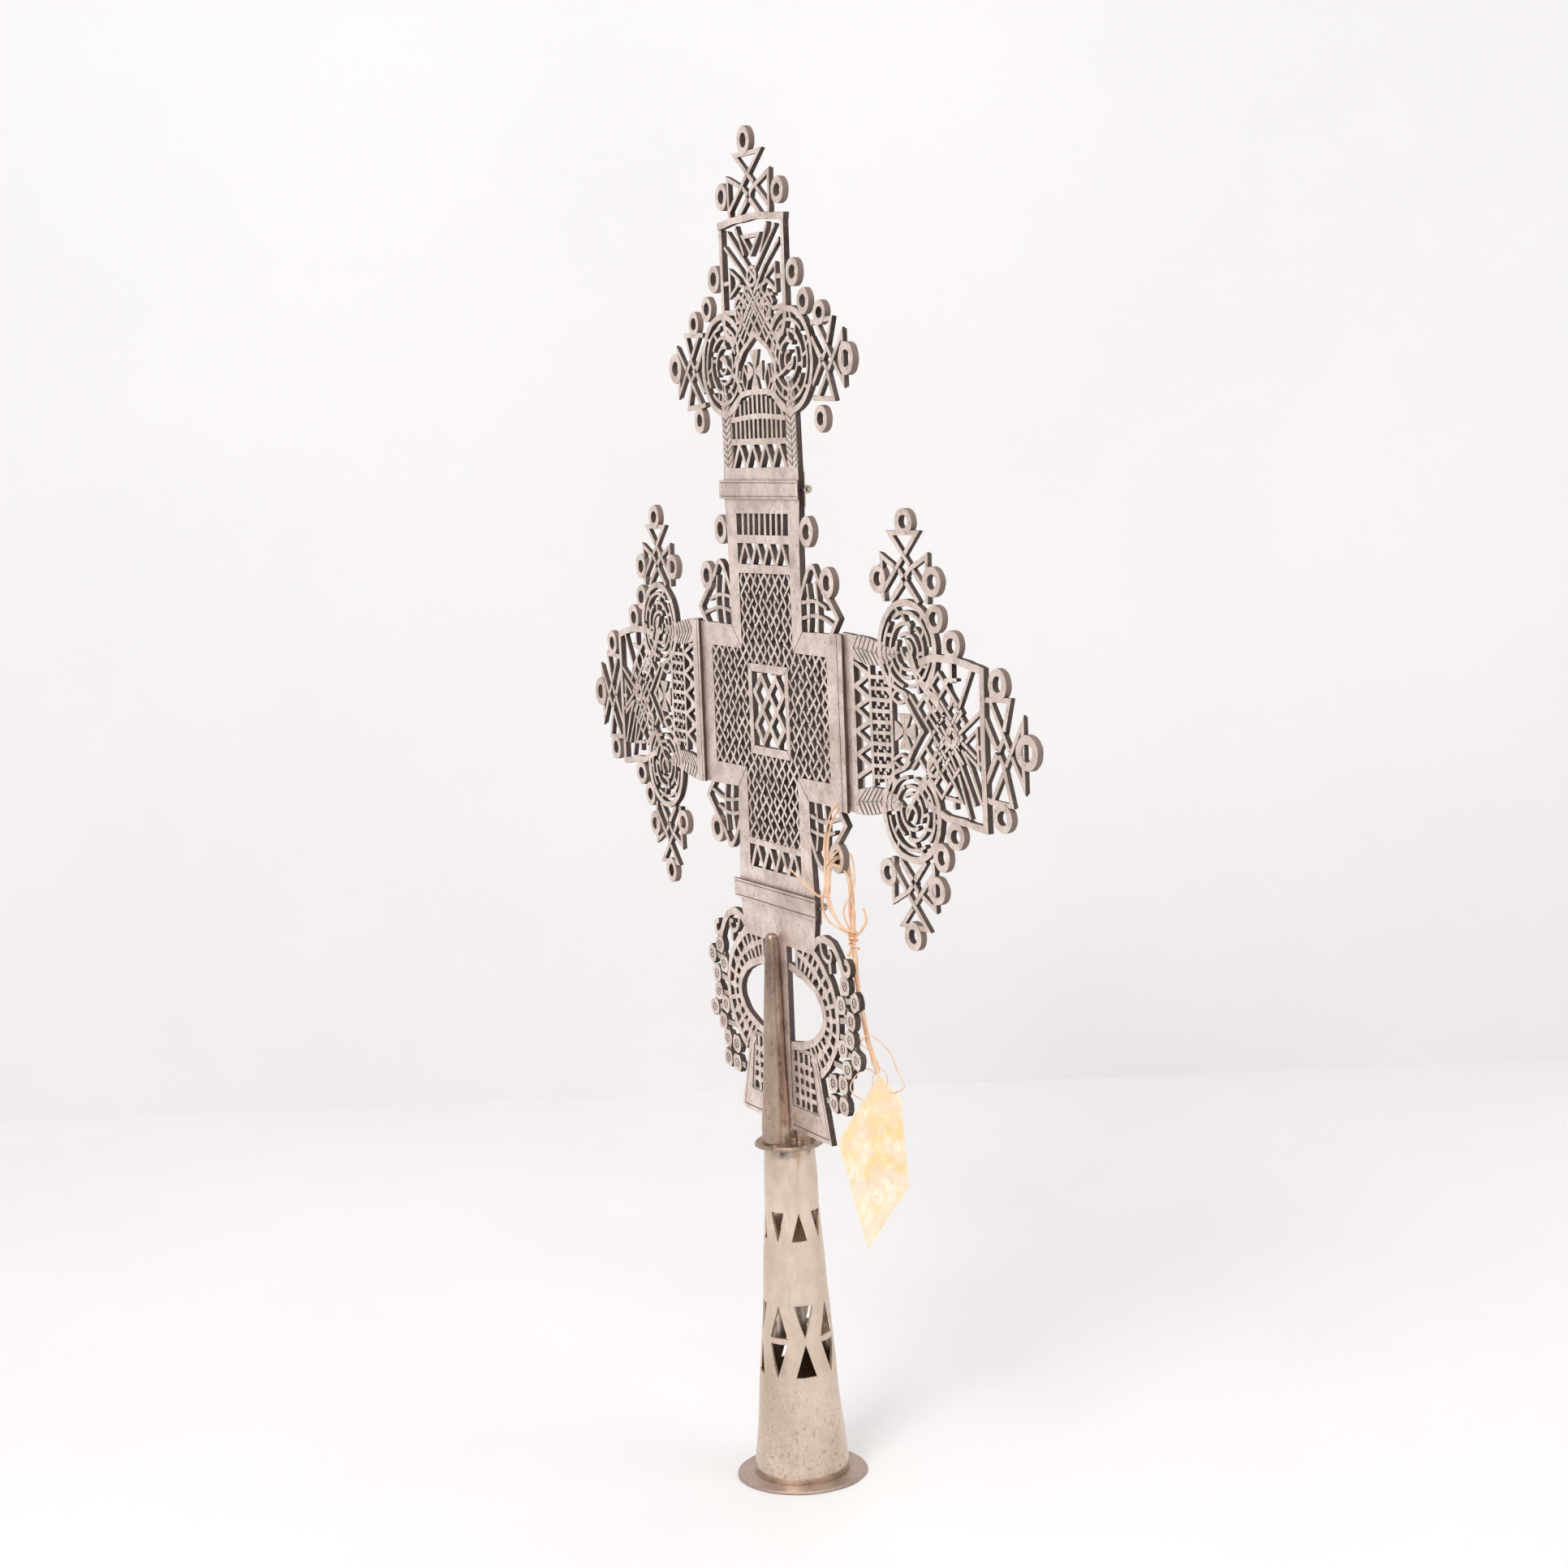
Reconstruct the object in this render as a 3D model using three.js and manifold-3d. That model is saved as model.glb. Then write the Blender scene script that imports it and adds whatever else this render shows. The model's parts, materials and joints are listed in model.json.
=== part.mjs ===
// Folding processional cross on a tapered pole socket, in millimetres, +Z up.
// The origin is the centre of the base flange's underside; the front of the cross faces -Y.
// The pierced plates lie in the XZ plane, 2.8 mm thick, and fold back on knuckle hinges.
import * as THREE from 'three';
import { mergeVertices } from 'three/addons/utils/BufferGeometryUtils.js';
import Module from 'manifold-3d';

const wasm = await Module();
wasm.setup();

// ---- driving dimensions ----------------------------------------------------------------
const PLATE = 2.8;                  // thickness of every pierced plate
const FRONT = -PLATE / 2;
const BACK = PLATE / 2;
const GAP = 0.3;                    // clearance between pieces that touch

const SOCKET_HEIGHT = 152.3;
const SOCKET_WALL = 1.2;
const SOCKET_PROFILE = [[21.7, 1.7], [18.3, 38], [15.5, 75], [12.8, 118], [11.6, SOCKET_HEIGHT]];
const SOCKET_SIDES = 24;
const FLANGE_RADIUS = 29.7;
const FLANGE_BORE = 19.8;
const FLANGE_THICK = 1.4;
const COLLAR_RADIUS = 15.8;
const COLLAR_BORE = 5;
const COLLAR_TOP = 154.8;
const COLLAR_THICK = 2.2;
const WINDOW_ROWS = [                // bottom, top, half width, first points up
  [49.5, 64.5, 4.6, false],
  [67.3, 82, 4.4, true],
  [111, 124, 3.4, false],
];
const WINDOWS_ROUND = 8;
const WINDOW_TURN = THREE.MathUtils.degToRad(9);

const STEM_TOP = 249;
const STEM_FOOT = COLLAR_TOP + GAP;
const REAR_PRONG_TOP = 197;
const PRONG_FOOT_RADIUS = 6.5;
const PRONG_FOOT_DEPTH = 6.1;        // how far each prong's middle stands off the plate at its foot
const ROOT_RADIUS = 4.7;
const ROOT_DEPTH = 146;
const PIN_HEIGHTS = [170, 188];
const STEM_PIN_RADIUS = 0.8;

const LOWER_SEAM = 264.6;            // height of the hinge between lower and centre plates
const UPPER_SEAM = 444.6;            // height of the hinge between centre and top plates
const SIDE_SEAM = 71.5;              // distance of the side hinges from the centre line
const ARM_MID = 347.6;               // height of the cross's arms
const SEAM_GAP = 0.6;
const AXIS_BACK = 4;                 // hinge axes stand this far behind the plates' middle
const KNUCKLE_RADIUS = 1.9;
const KNUCKLE_BORE = 1.1;
const HINGE_PIN_RADIUS = 0.8;
const HINGE_LENGTH = 72;
const KNUCKLES = 5;
const LEAF_THICK = 0.9;
const COVER_THICK = 1.3;
const RIGHT_WING_FOLD = THREE.MathUtils.degToRad(7);   // the right wing rests folded back a little

const LATTICE_PITCH = 9;             // the finer plait is worked on the plate's finished face
const DIAMOND_HALF = 6.6;
const PIERCE = 3;                    // openings are cut from this far in front to this far behind

const TIE_DIAMETER = 1.8;
const TIE_ROUTE = [[57.2, -5, 273], [57.6, -4.7, 279], [58.3, -4, 285], [59, -1.9, 288.9], [59.4, 1.7, 289],
  [60, 4.1, 285], [60.6, 4.6, 279], [61.2, 4.4, 271], [61.9, 4.2, 262], [62.7, 4, 252],
  [63.6, 4, 242], [64.8, 4.3, 232], [66.2, 5, 222], [67.9, 6.1, 212], [69.8, 7.6, 204], [71.5, 8.85, 197.5]];
// The tag hangs in a plane turned towards the right front; its outline is measured from its hole.
const TAG_HOLE = [71.8, 9, 192.5];
const TAG_TURN = THREE.MathUtils.degToRad(64);
const TAG_OUTLINE = [[0, 4.2], [-18.5, -24.5], [-7.5, -72], [11, -45], [9, -6.5]];

// ---- colours ---------------------------------------------------------------------------
const silver = new THREE.MeshStandardMaterial({ color: 0xb5a898, roughness: 0.42, metalness: 1 });
const stemMetal = new THREE.MeshStandardMaterial({ color: 0x95836c, roughness: 0.45, metalness: 1 });
const pinMetal = new THREE.MeshStandardMaterial({ color: 0x8a7a68, roughness: 0.5, metalness: 1 });
const raffia = new THREE.MeshStandardMaterial({ color: 0xd9a874, roughness: 0.8, metalness: 0 });
const paper = new THREE.MeshStandardMaterial({ color: 0xeadfae, roughness: 0.9, metalness: 0 });

// ---- solids ----------------------------------------------------------------------------
function solid(geometry) {
  geometry.deleteAttribute('normal');
  geometry.deleteAttribute('uv');
  const merged = mergeVertices(geometry, 1e-4);
  const vertProperties = new Float32Array(merged.attributes.position.array);
  const triVerts = new Uint32Array(merged.index.array);
  return new wasm.Manifold(new wasm.Mesh({ numProp: 3, vertProperties, triVerts }));
}

function join(solids) {
  return solids.reduce((sum, one) => sum.add(one));
}

function piece(name, manifold, material) {
  const mesh = manifold.getMesh();
  const geometry = new THREE.BufferGeometry();
  geometry.setAttribute('position', new THREE.BufferAttribute(mesh.vertProperties, 3));
  geometry.setIndex(new THREE.BufferAttribute(mesh.triVerts, 1));
  const result = new THREE.Mesh(geometry, material);
  result.name = name;
  return result;
}

// An outline in (x, z) as a slab between two depths.
function slab(shape, front = FRONT, back = BACK) {
  const settings = { depth: back - front, bevelEnabled: false, curveSegments: 4 };
  const geometry = new THREE.ExtrudeGeometry(shape, settings);
  geometry.rotateX(Math.PI / 2);
  geometry.translate(0, back, 0);
  return solid(geometry);
}

// Every outline runs anticlockwise, so that holes and outer edges extrude alike.
function polygon(points, side = 1) {
  const corners = points.map(([x, z]) => new THREE.Vector2(side * x, z));
  if (THREE.ShapeUtils.area(corners) < 0) corners.reverse();
  return new THREE.Shape(corners);
}

function rectangle(x0, x1, z0, z1) {
  return polygon([[x0, z0], [x1, z0], [x1, z1], [x0, z1]]);
}

function box(x0, x1, y0, y1, z0, z1) {
  return slab(rectangle(x0, x1, z0, z1), y0, y1);
}

// Points at a distance to one side of a line through points, mitred at its corners.
function offsetLine(points, distance, closed) {
  return points.map((point, i) => {
    const count = points.length;
    const before = closed ? points[(i + count - 1) % count] : points[Math.max(i - 1, 0)];
    const after = closed ? points[(i + 1) % count] : points[Math.min(i + 1, count - 1)];
    const incoming = new THREE.Vector2(point[0] - before[0], point[1] - before[1]).normalize();
    const outgoing = new THREE.Vector2(after[0] - point[0], after[1] - point[1]).normalize();
    const a = incoming.lengthSq() > 0 ? incoming : outgoing;
    const b = outgoing.lengthSq() > 0 ? outgoing : incoming;
    const mid = new THREE.Vector2(a.x + b.x, a.y + b.y).normalize();
    const reach = distance / Math.max(0.4, mid.dot(a));
    return [point[0] - mid.y * reach, point[1] + mid.x * reach];
  });
}

// A strap of one width along a line through points: a bar, a bent bar or a closed loop.
function strap(points, width, closed = false) {
  const left = offsetLine(points, width / 2, closed);
  const right = offsetLine(points, -width / 2, closed);
  if (!closed) return slab(polygon([...left, ...right.reverse()]));
  const outlines = [polygon(left), polygon(right)];
  outlines.sort((a, b) => THREE.ShapeUtils.area(b.getPoints()) - THREE.ShapeUtils.area(a.getPoints()));
  outlines[0].holes.push(outlines[1]);
  return slab(outlines[0]);
}

function arcPoints(x, z, rx, rz, fromDeg, toDeg, steps) {
  const points = [];
  for (let i = 0; i <= steps; i += 1) {
    const angle = THREE.MathUtils.degToRad(fromDeg + (toDeg - fromDeg) * i / steps);
    points.push([x + rx * Math.cos(angle), z + rz * Math.sin(angle)]);
  }
  return points;
}

function ring(x, z, outer, inner = outer * 0.48) {
  const shape = polygon(arcPoints(x, z, outer * 1.06, outer * 1.06, 22.5, 382.5, 8).slice(1));
  shape.holes.push(polygon(arcPoints(x, z, inner, inner, 0, 360, 6).slice(1)));
  return slab(shape);
}

// A plate outline with its openings, all as lists of (x, z) corners.
function pierced(outline, openings, at = (point) => point) {
  const shape = polygon(outline.map(at));
  openings.forEach((opening) => shape.holes.push(polygon(opening.map(at))));
  return slab(shape);
}

function zigzag(x0, x1, z0, z1, peaks) {
  const points = [];
  for (let i = 0; i <= 2 * peaks; i += 1) {
    points.push([x0 + (x1 - x0) * i / (2 * peaks), i % 2 ? z1 : z0]);
  }
  return points;
}

function turned(profile, sides) {
  const geometry = new THREE.LatheGeometry(profile.map(([r, z]) => new THREE.Vector2(r, z)), sides);
  geometry.rotateX(Math.PI / 2);
  return solid(geometry);
}

// A round rod along X.
function rod(radius, length, mid = 0) {
  const geometry = new THREE.CylinderGeometry(radius, radius, length, 8);
  geometry.rotateZ(Math.PI / 2);
  geometry.translate(mid, 0, 0);
  return solid(geometry);
}

// ---- socket ----------------------------------------------------------------------------
function socketRadius(height) {
  const above = SOCKET_PROFILE.findIndex(([, z]) => z >= height);
  const [r0, z0] = SOCKET_PROFILE[above - 1];
  const [r1, z1] = SOCKET_PROFILE[above];
  return r0 + (r1 - r0) * (height - z0) / (z1 - z0);
}

function socketTube() {
  const inside = SOCKET_PROFILE.map(([r, z]) => [r - SOCKET_WALL, z]).reverse();
  let tube = turned([...SOCKET_PROFILE, ...inside, SOCKET_PROFILE[0]], SOCKET_SIDES);
  WINDOW_ROWS.forEach(([bottom, top, half, up]) => {
    for (let i = 0; i < WINDOWS_ROUND; i += 1) {
      const pointsUp = (i % 2 === 0) === up;
      const foot = pointsUp ? bottom : top;
      const tip = pointsUp ? top : bottom;
      const reach = socketRadius((bottom + top) / 2) + 4;
      const shape = polygon([[-half, foot], [half, foot], [0, tip]]);
      const geometry = new THREE.ExtrudeGeometry(shape, { depth: 8, bevelEnabled: false });
      geometry.rotateX(Math.PI / 2);
      geometry.translate(0, 8 - reach, 0);
      geometry.rotateZ((i + 0.5) * 2 * Math.PI / WINDOWS_ROUND + WINDOW_TURN);
      tube = tube.subtract(solid(geometry));
    }
  });
  return tube;
}

function baseFlange() {
  return turned([[FLANGE_BORE, 0], [FLANGE_RADIUS, 0], [FLANGE_RADIUS, FLANGE_THICK],
    [FLANGE_BORE, FLANGE_THICK], [FLANGE_BORE, 0]], SOCKET_SIDES);
}

function collar() {
  const low = COLLAR_TOP - COLLAR_THICK;
  return turned([[COLLAR_BORE, low], [COLLAR_RADIUS, low], [COLLAR_RADIUS, COLLAR_TOP],
    [COLLAR_BORE, COLLAR_TOP], [COLLAR_BORE, low]], 24);
}

// ---- forked stem -----------------------------------------------------------------------
function prong(sign, top, radiusTop, depthTop) {
  const profile = [[0, STEM_FOOT], [PRONG_FOOT_RADIUS, STEM_FOOT], [radiusTop, top - 3],
    [radiusTop * 0.7, top - 0.8], [0, top]];
  const geometry = new THREE.LatheGeometry(profile.map(([r, z]) => new THREE.Vector2(r, z)), 12);
  geometry.rotateX(Math.PI / 2);
  const lean = (depthTop - PRONG_FOOT_DEPTH) / (top - STEM_FOOT);
  const shear = new THREE.Matrix4().set(
    1, 0, 0, 0,
    0, 1, sign * lean, sign * (PRONG_FOOT_DEPTH - lean * STEM_FOOT),
    0, 0, 1, 0,
    0, 0, 0, 1,
  );
  geometry.applyMatrix4(shear);
  return solid(geometry);
}

function forkedStem() {
  const front = prong(-1, STEM_TOP, 2.95, 4.7);
  const rear = prong(1, REAR_PRONG_TOP, 5, 5.7);
  const root = turned([[0, ROOT_DEPTH], [ROOT_RADIUS, ROOT_DEPTH], [ROOT_RADIUS, STEM_FOOT + 1],
    [0, STEM_FOOT + 1]], 16);
  let stem = join([front, rear, root]);
  stem = stem.subtract(box(-20, 20, FRONT - GAP, BACK + GAP, STEM_FOOT + 0.5, 300));
  PIN_HEIGHTS.forEach((height) => {
    stem = stem.subtract(stemPin(height, STEM_PIN_RADIUS + GAP, 12.5));
  });
  return stem;
}

function stemPin(height, radius = STEM_PIN_RADIUS, reach = 10.4) {
  const front = -6;
  const geometry = new THREE.CylinderGeometry(radius, radius, reach - front, 8);
  geometry.translate(0, (reach + front) / 2, height);
  return solid(geometry);
}

// ---- lower plate -----------------------------------------------------------------------
// The hooked bead chains that edge the ring, one width wider than their links.
const BEAD_CHAIN = [[62.5, 237], [60.5, 227], [69.5, 220], [66.2, 212], [71.2, 204], [63.5, 197.5],
  [58.5, 190.8], [58.3, 177.5]];
const BEAD_TIES = [
  [[53, 226.5], [75.5, 230]],
  [[52.5, 206.5], [75, 203.5]],
  [[43, 190.5], [60, 190.5]],
  [[45, 180.8], [62, 181.6]],
];

function lowerPlate() {
  const top = LOWER_SEAM - SEAM_GAP / 2;
  const ringMid = 217.3;
  const parts = [
    slab(polygon([[-38.5, top], [38.5, top], [33.5, 245], [-33.5, 245]])),
    box(-7.5, 7.5, FRONT, BACK, 156, 246),
    slab(polygon([[-34, 199], [34, 199], [45.3, 161.3], [-45.3, 161.3]])),
    strap(arcPoints(0, ringMid, 54.8, 34.8, -57, 237, 22), 3.5),
    strap(arcPoints(0, ringMid, 43, 18.3, -90, 270, 20).slice(1), 3.6, true),
  ];
  for (const side of [-1, 1]) {
    for (const angle of [-34, 0, 30, 58]) {
      const c = side * Math.cos(THREE.MathUtils.degToRad(angle));
      const s = Math.sin(THREE.MathUtils.degToRad(angle));
      parts.push(strap([[43 * c, ringMid + 18.3 * s], [54.8 * c, ringMid + 34.8 * s]], 4));
    }
    parts.push(strap(BEAD_CHAIN.map(([x, z]) => [side * x, z]), 6.5));
    BEAD_TIES.forEach((link) => parts.push(strap(link.map(([x, z]) => [side * x, z]), 6)));
    parts.push(strap([[33, 245], [41, 251], [51, 250.5], [58.5, 245.5], [62, 240], [63, 234]]
      .map(([x, z]) => [side * x, z]), 3.4));
    parts.push(ring(side * 64, 243.5, 4.4, 1.6));
    parts.push(strap([[55, 248.5], [51.5, 242], [48, 239], [45, 241.5]].map(([x, z]) => [side * x, z]), 2.4));
  }
  let plate = join(parts);
  for (const side of [-1, 1]) {
    for (let row = 0; row < 3; row += 1) {
      for (let column = 0; column < 2; column += 1) {
        const z = 177.5 + row * 8;
        const x = side * (14.5 + column * 9 - row * column);
        plate = plate.subtract(box(x - 2.8, x + 2.8, -PIERCE, PIERCE, z - 2.8, z + 2.8));
      }
    }
  }
  PIN_HEIGHTS.forEach((height) => {
    plate = plate.subtract(stemPin(height, STEM_PIN_RADIUS + GAP, PIERCE));
  });
  return plate;
}

// ---- centre plate ----------------------------------------------------------------------
function diamondHoles(x0, x1, z0, z1) {
  const half = DIAMOND_HALF;
  const holes = [];
  const inBlock = (x, z) => Math.abs(x) < 20 + half && Math.abs(z - ARM_MID) < 20 + half;
  for (let i = -7; i <= 7; i += 1) {
    for (let k = -7; k <= 7; k += 1) {
      const x = i * LATTICE_PITCH;
      const z = ARM_MID + k * LATTICE_PITCH;
      const inside = x - half > x0 && x + half < x1 && z - half > z0 && z + half < z1;
      if ((i + k) % 2 !== 0 && inside && !inBlock(x, z)) {
        const corners = [[x - half, z], [x, z - half], [x + half, z], [x, z + half]];
        holes.push(slab(polygon(corners), -PIERCE, PIERCE));
      }
    }
  }
  return holes;
}

function slots(x0, x1, z0, z1, count, share = 0.62) {
  const pitch = (x1 - x0) / count;
  return Array.from({ length: count }, (_, i) => {
    const mid = x0 + (i + 0.5) * pitch;
    return box(mid - pitch * share / 2, mid + pitch * share / 2, -PIERCE, PIERCE, z0, z1);
  });
}

function zigzagWindow(x0, x1, z0, z1, peaks) {
  const window = box(x0, x1, -PIERCE, PIERCE, z0, z1);
  return window.subtract(strap(zigzag(x0, x1, z0 + 0.6, z1 - 0.6, peaks), 2));
}

function rosette(side, up) {
  const at = ([x, z]) => [side * x, ARM_MID + up * z];
  return join([
    strap([[33, 50], [44, 61.5], [50.5, 61.5], [68.5, 43.5], [61, 35]].map(at), 2.6),
    strap([[46, 35], [46.5, 60]].map(at), 2.4),
    strap([[34, 45], [67, 44]].map(at), 2.4),
    ring(...at([59.8, 57.6]), 6.7, 3.3),
  ]);
}

function centrePlate() {
  const low = LOWER_SEAM + SEAM_GAP / 2;
  const high = UPPER_SEAM - SEAM_GAP / 2;
  const edge = SIDE_SEAM - SEAM_GAP / 2;
  const armLow = ARM_MID - 36;
  const armHigh = ARM_MID + 36;
  const parts = [
    slab(polygon([[-38, low], [38, low], [35.6, armLow], [edge, armLow - 0.8], [edge, armHigh + 0.8],
      [35.6, armHigh], [38, high], [-38, high], [-35.6, armHigh], [-edge, armHigh + 0.8],
      [-edge, armLow - 0.8], [-35.6, armLow]])),
    ring(42.6, 426.8, 6.7, 3.3),
    ring(-42.6, 426.8, 6.7, 3.3),
  ];
  for (const side of [-1, 1]) {
    parts.push(rosette(side, 1), rosette(side, -1));
  }
  let plate = join(parts);
  const cuts = [
    ...diamondHoles(-25.8, 25.8, 289, 408),
    ...diamondHoles(-57, -20, 320.8, 374.4),
    ...diamondHoles(20, 57, 320.8, 374.4),
    ...slots(-25.8, 25.8, 425, 434, 9),
    zigzagWindow(-25.8, 25.8, 411.6, 421, 3),
    zigzagWindow(-25.8, 25.8, 276.4, 286.4, 3),
  ];
  plate = plate.subtract(join(cuts));
  const braid = box(-15, 15, -PIERCE, PIERCE, ARM_MID - 16.3, ARM_MID + 16.3);
  const strands = join([
    strap([[-7.5, -16], [7.5, 0], [-7.5, 16]].map(([x, z]) => [x, ARM_MID + z]), 2.8),
    strap([[7.5, -16], [-7.5, 0], [7.5, 16]].map(([x, z]) => [x, ARM_MID + z]), 2.8),
    strap([[-15, -8], [0, 8], [15, -8]].map(([x, z]) => [x, ARM_MID + z]), 2.8),
    strap([[-15, 8], [0, -8], [15, 8]].map(([x, z]) => [x, ARM_MID + z]), 2.8),
  ]);
  return plate.subtract(braid.subtract(strands));
}

// ---- star knot: three interlaced triangles on a base, drawn up from (0, 0) ---------------
function starKnot(at, half, height) {
  const outer = half * 0.74;
  const mirror = (points) => points.map(([u, v]) => [-u, v]);
  const outline = [[half * 0.5, -1.2], [half * 0.55, height * 0.12], [half, 0], [half, height * 0.78],
    [half * 0.4, height * 0.6], [outer, height]];
  const sideHole = [[half - 2.6, height * 0.14], [half - 2.6, height * 0.6], [half * 0.42, height * 0.38]];
  const topHole = [[-outer * 0.52, height - 2.4], [outer * 0.52, height - 2.4], [0, height * 0.66]];
  const footHole = [[-half * 0.22, 0.5], [half * 0.22, 0.5], [0, height * 0.28]];
  const whole = [...outline, ...mirror(outline).reverse()];
  return pierced(whole, [sideHole, mirror(sideHole), topHole, footHole], at);
}

// A round knot: a circle strap with four sector openings about its hub.
function circleKnot(x, z, radius) {
  const openings = [0, 90, 180, 270].map((turn) => [
    ...arcPoints(x, z, radius - 2.6, radius - 2.6, turn + 8, turn + 82, 2),
    ...arcPoints(x, z, radius * 0.36, radius * 0.36, turn + 66, turn + 24, 1),
  ]);
  return pierced(arcPoints(x, z, radius, radius, 15, 375, 12).slice(1), openings);
}

function crossPattee(x, z, reachX, reachZ) {
  const arm = [[1.2, 1.2], [reachZ * 0.55, reachX], [-reachZ * 0.55, reachX], [-1.2, 1.2],
    [-reachX, reachZ * 0.55], [-reachX, -reachZ * 0.55], [-1.2, -1.2],
    [-reachZ * 0.55, -reachX], [reachZ * 0.55, -reachX], [1.2, -1.2],
    [reachX, -reachZ * 0.55], [reachX, reachZ * 0.55]];
  return slab(polygon(arm.map(([u, v]) => [x + u, z + v])));
}

// ---- top plate -------------------------------------------------------------------------
function topPlate() {
  const low = UPPER_SEAM + SEAM_GAP / 2;
  const parts = [
    slab(polygon([[-38, low], [38, low], [37, 478], [34.5, 492], [31, 491], [27, 478], [26, 486],
      [-26, 486], [-27, 478], [-31, 491], [-34.5, 492], [-37, 478]])),
    strap(arcPoints(0, 493, 18, 18, -32, 212, 10), 2.6),
    crossPattee(0, 494.5, 8, 8),
    strap([[0, 501], [0, 512]], 2.4),
    strap([[-31.5, 510], [-31.5, 559.5], [0, 561.5], [31.5, 559.5], [31.5, 510]], 3),
    strap([[-31.5, 556], [0, 528], [24, 502]], 2.4),
    strap([[31.5, 556], [0, 528], [-24, 502]], 2.4),
    strap([[-9, 552], [9, 552], [0, 532]], 2.4, true),
    strap([[-32, 535], [-8, 535]], 2.4),
    strap([[8, 535], [32, 535]], 2.4),
    strap([[-32, 522.5], [32, 522.5]], 2.4),
    ring(0, 594, 5.9, 2.9),
    starKnot(([u, v]) => [u, 561 + v], 17.5, 27.5),
    circleKnot(32, 499.5, 23),
    circleKnot(-32, 499.5, 23),
  ];
  for (const side of [-1, 1]) {
    parts.push(ring(side * 22.5, 570.5, 5.8, 2.9));
    parts.push(ring(side * 38.2, 536.2, 6.2, 3));
    parts.push(ring(side * 46.5, 522, 5.6, 2.8));
    parts.push(ring(side * 62, 517.5, 5.4, 2.7));
    parts.push(ring(side * 84, 498, 6.8, 3.4));
    parts.push(ring(side * 60.5, 476, 5.8, 2.9));
    parts.push(starKnot(([u, v]) => [side * (54 + v), 497 + u], 16, 24.5));
  }
  const cuts = [
    zigzagWindow(-26, 26, 454, 464.2, 4),
    ...slots(-25, 25, 466.7, 483.2, 7),
  ];
  return join(parts).subtract(join(cuts));
}

// ---- wing plate, drawn for the right side and mirrored for the left -----------------------
function wingPlate(side) {
  const edge = SIDE_SEAM + SEAM_GAP / 2;
  const flip = (points) => points.map(([x, z]) => [side * x, z]);
  const knot = (place) => ([u, v]) => {
    const [x, z] = place(u, v);
    return [side * x, z];
  };
  const parts = [
    slab(polygon([[edge, 311], [edge, 384.6], [96, 382], [113, 379], [104, 373.5], [80, 374.5], [80, 322],
      [104, 322.5], [113, 313.5], [96, 311.5]], side)),
    strap(flip([[90.7, 375], [90.7, 321]]), 2.2),
    strap(flip([[105.8, 375], [105.8, 321]]), 2.2),
    strap(flip(zigzag(322, 374, 81.5, 89.5, 4).map(([z, x]) => [x, z])), 2.2),
    strap(flip([[90, 362], [106, 362]]), 2.2),
    strap(flip([[90, 347], [106, 347]]), 2.2),
    strap(flip([[90, 332], [106, 332]]), 2.2),
    strap(flip([[106, 347], [109, 347]]), 3),
    strap(flip([[110, 366], [122, 360], [166, 320]]), 2.6),
    strap(flip([[110, 328], [122, 334], [166, 374]]), 2.6),
    strap(flip([[127, 374], [134, 377.5], [150, 377.5], [166.6, 374], [166.6, 312], [150, 313], [134, 316],
      [127, 319]]), 3.1),
    strap(flip([[163, 353], [163, 335], [150, 344]]), 2.4, true),
    strap(flip([[146, 367], [146, 377]]), 2.4),
    strap(flip([[146, 313], [146, 327]]), 2.4),
    strap(flip([[128, 371], [150, 366], [142, 354]]), 2.4),
    strap(flip([[128, 323], [150, 327], [142, 340]]), 2.4),
    crossPattee(side * 114.5, 346.8, 7.5, 7.5),
    strap(flip([[121, 347], [150, 344]]), 2.4),
    strap(flip([[162, 344], [167, 344]]), 2.4),
    circleKnot(side * 117.5, 381.5, 19.4),
    circleKnot(side * 117.5, 312.5, 19.4),
    starKnot(knot((u, v) => [117.5 + u, 400 + v]), 13.5, 24.5),
    starKnot(knot((u, v) => [117 + u, 294 - v]), 13.5, 24.5),
    starKnot(knot((u, v) => [167.6 + v, 344 + u]), 17.5, 21.5),
  ];
  const rings = [[118, 430, 5.8], [99.8, 407.4, 5.8], [134.3, 406.7, 6], [136.5, 392.5, 5.9],
    [147.5, 383, 6.2], [173.8, 367.2, 6.2], [194.2, 344, 7.3], [173.8, 320.6, 6], [147, 307.6, 5.8],
    [136.5, 299.3, 5.8], [133, 285.2, 5.8], [100.8, 288.4, 5.8], [117, 264.2, 5.9]];
  rings.forEach(([x, z, r]) => parts.push(ring(side * x, z, r)));
  return join(parts);
}

// ---- hinges ----------------------------------------------------------------------------
// A leaf with its knuckles on the X axis. It lies on a plate's back, on the side s of the seam.
function hingeLeaf(s, first) {
  const pitch = HINGE_LENGTH / KNUCKLES;
  const low = BACK + GAP - AXIS_BACK;
  const leaf = (x0, x1, near, far) => box(x0, x1, low, low + LEAF_THICK,
    Math.min(near * s, far * s), Math.max(near * s, far * s));
  const parts = [leaf(-HINGE_LENGTH / 2, HINGE_LENGTH / 2, 2.3, 7.5)];
  const bores = [];
  for (let i = first; i < KNUCKLES; i += 2) {
    const start = -HINGE_LENGTH / 2 + i * pitch + GAP / 2;
    const end = start + pitch - GAP;
    const mid = (start + end) / 2;
    parts.push(rod(KNUCKLE_RADIUS, end - start, mid));
    parts.push(leaf(start, end, 0, 2.6));
    bores.push(rod(KNUCKLE_BORE, end - start + 1, mid));
  }
  return join(parts).subtract(join(bores));
}

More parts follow.
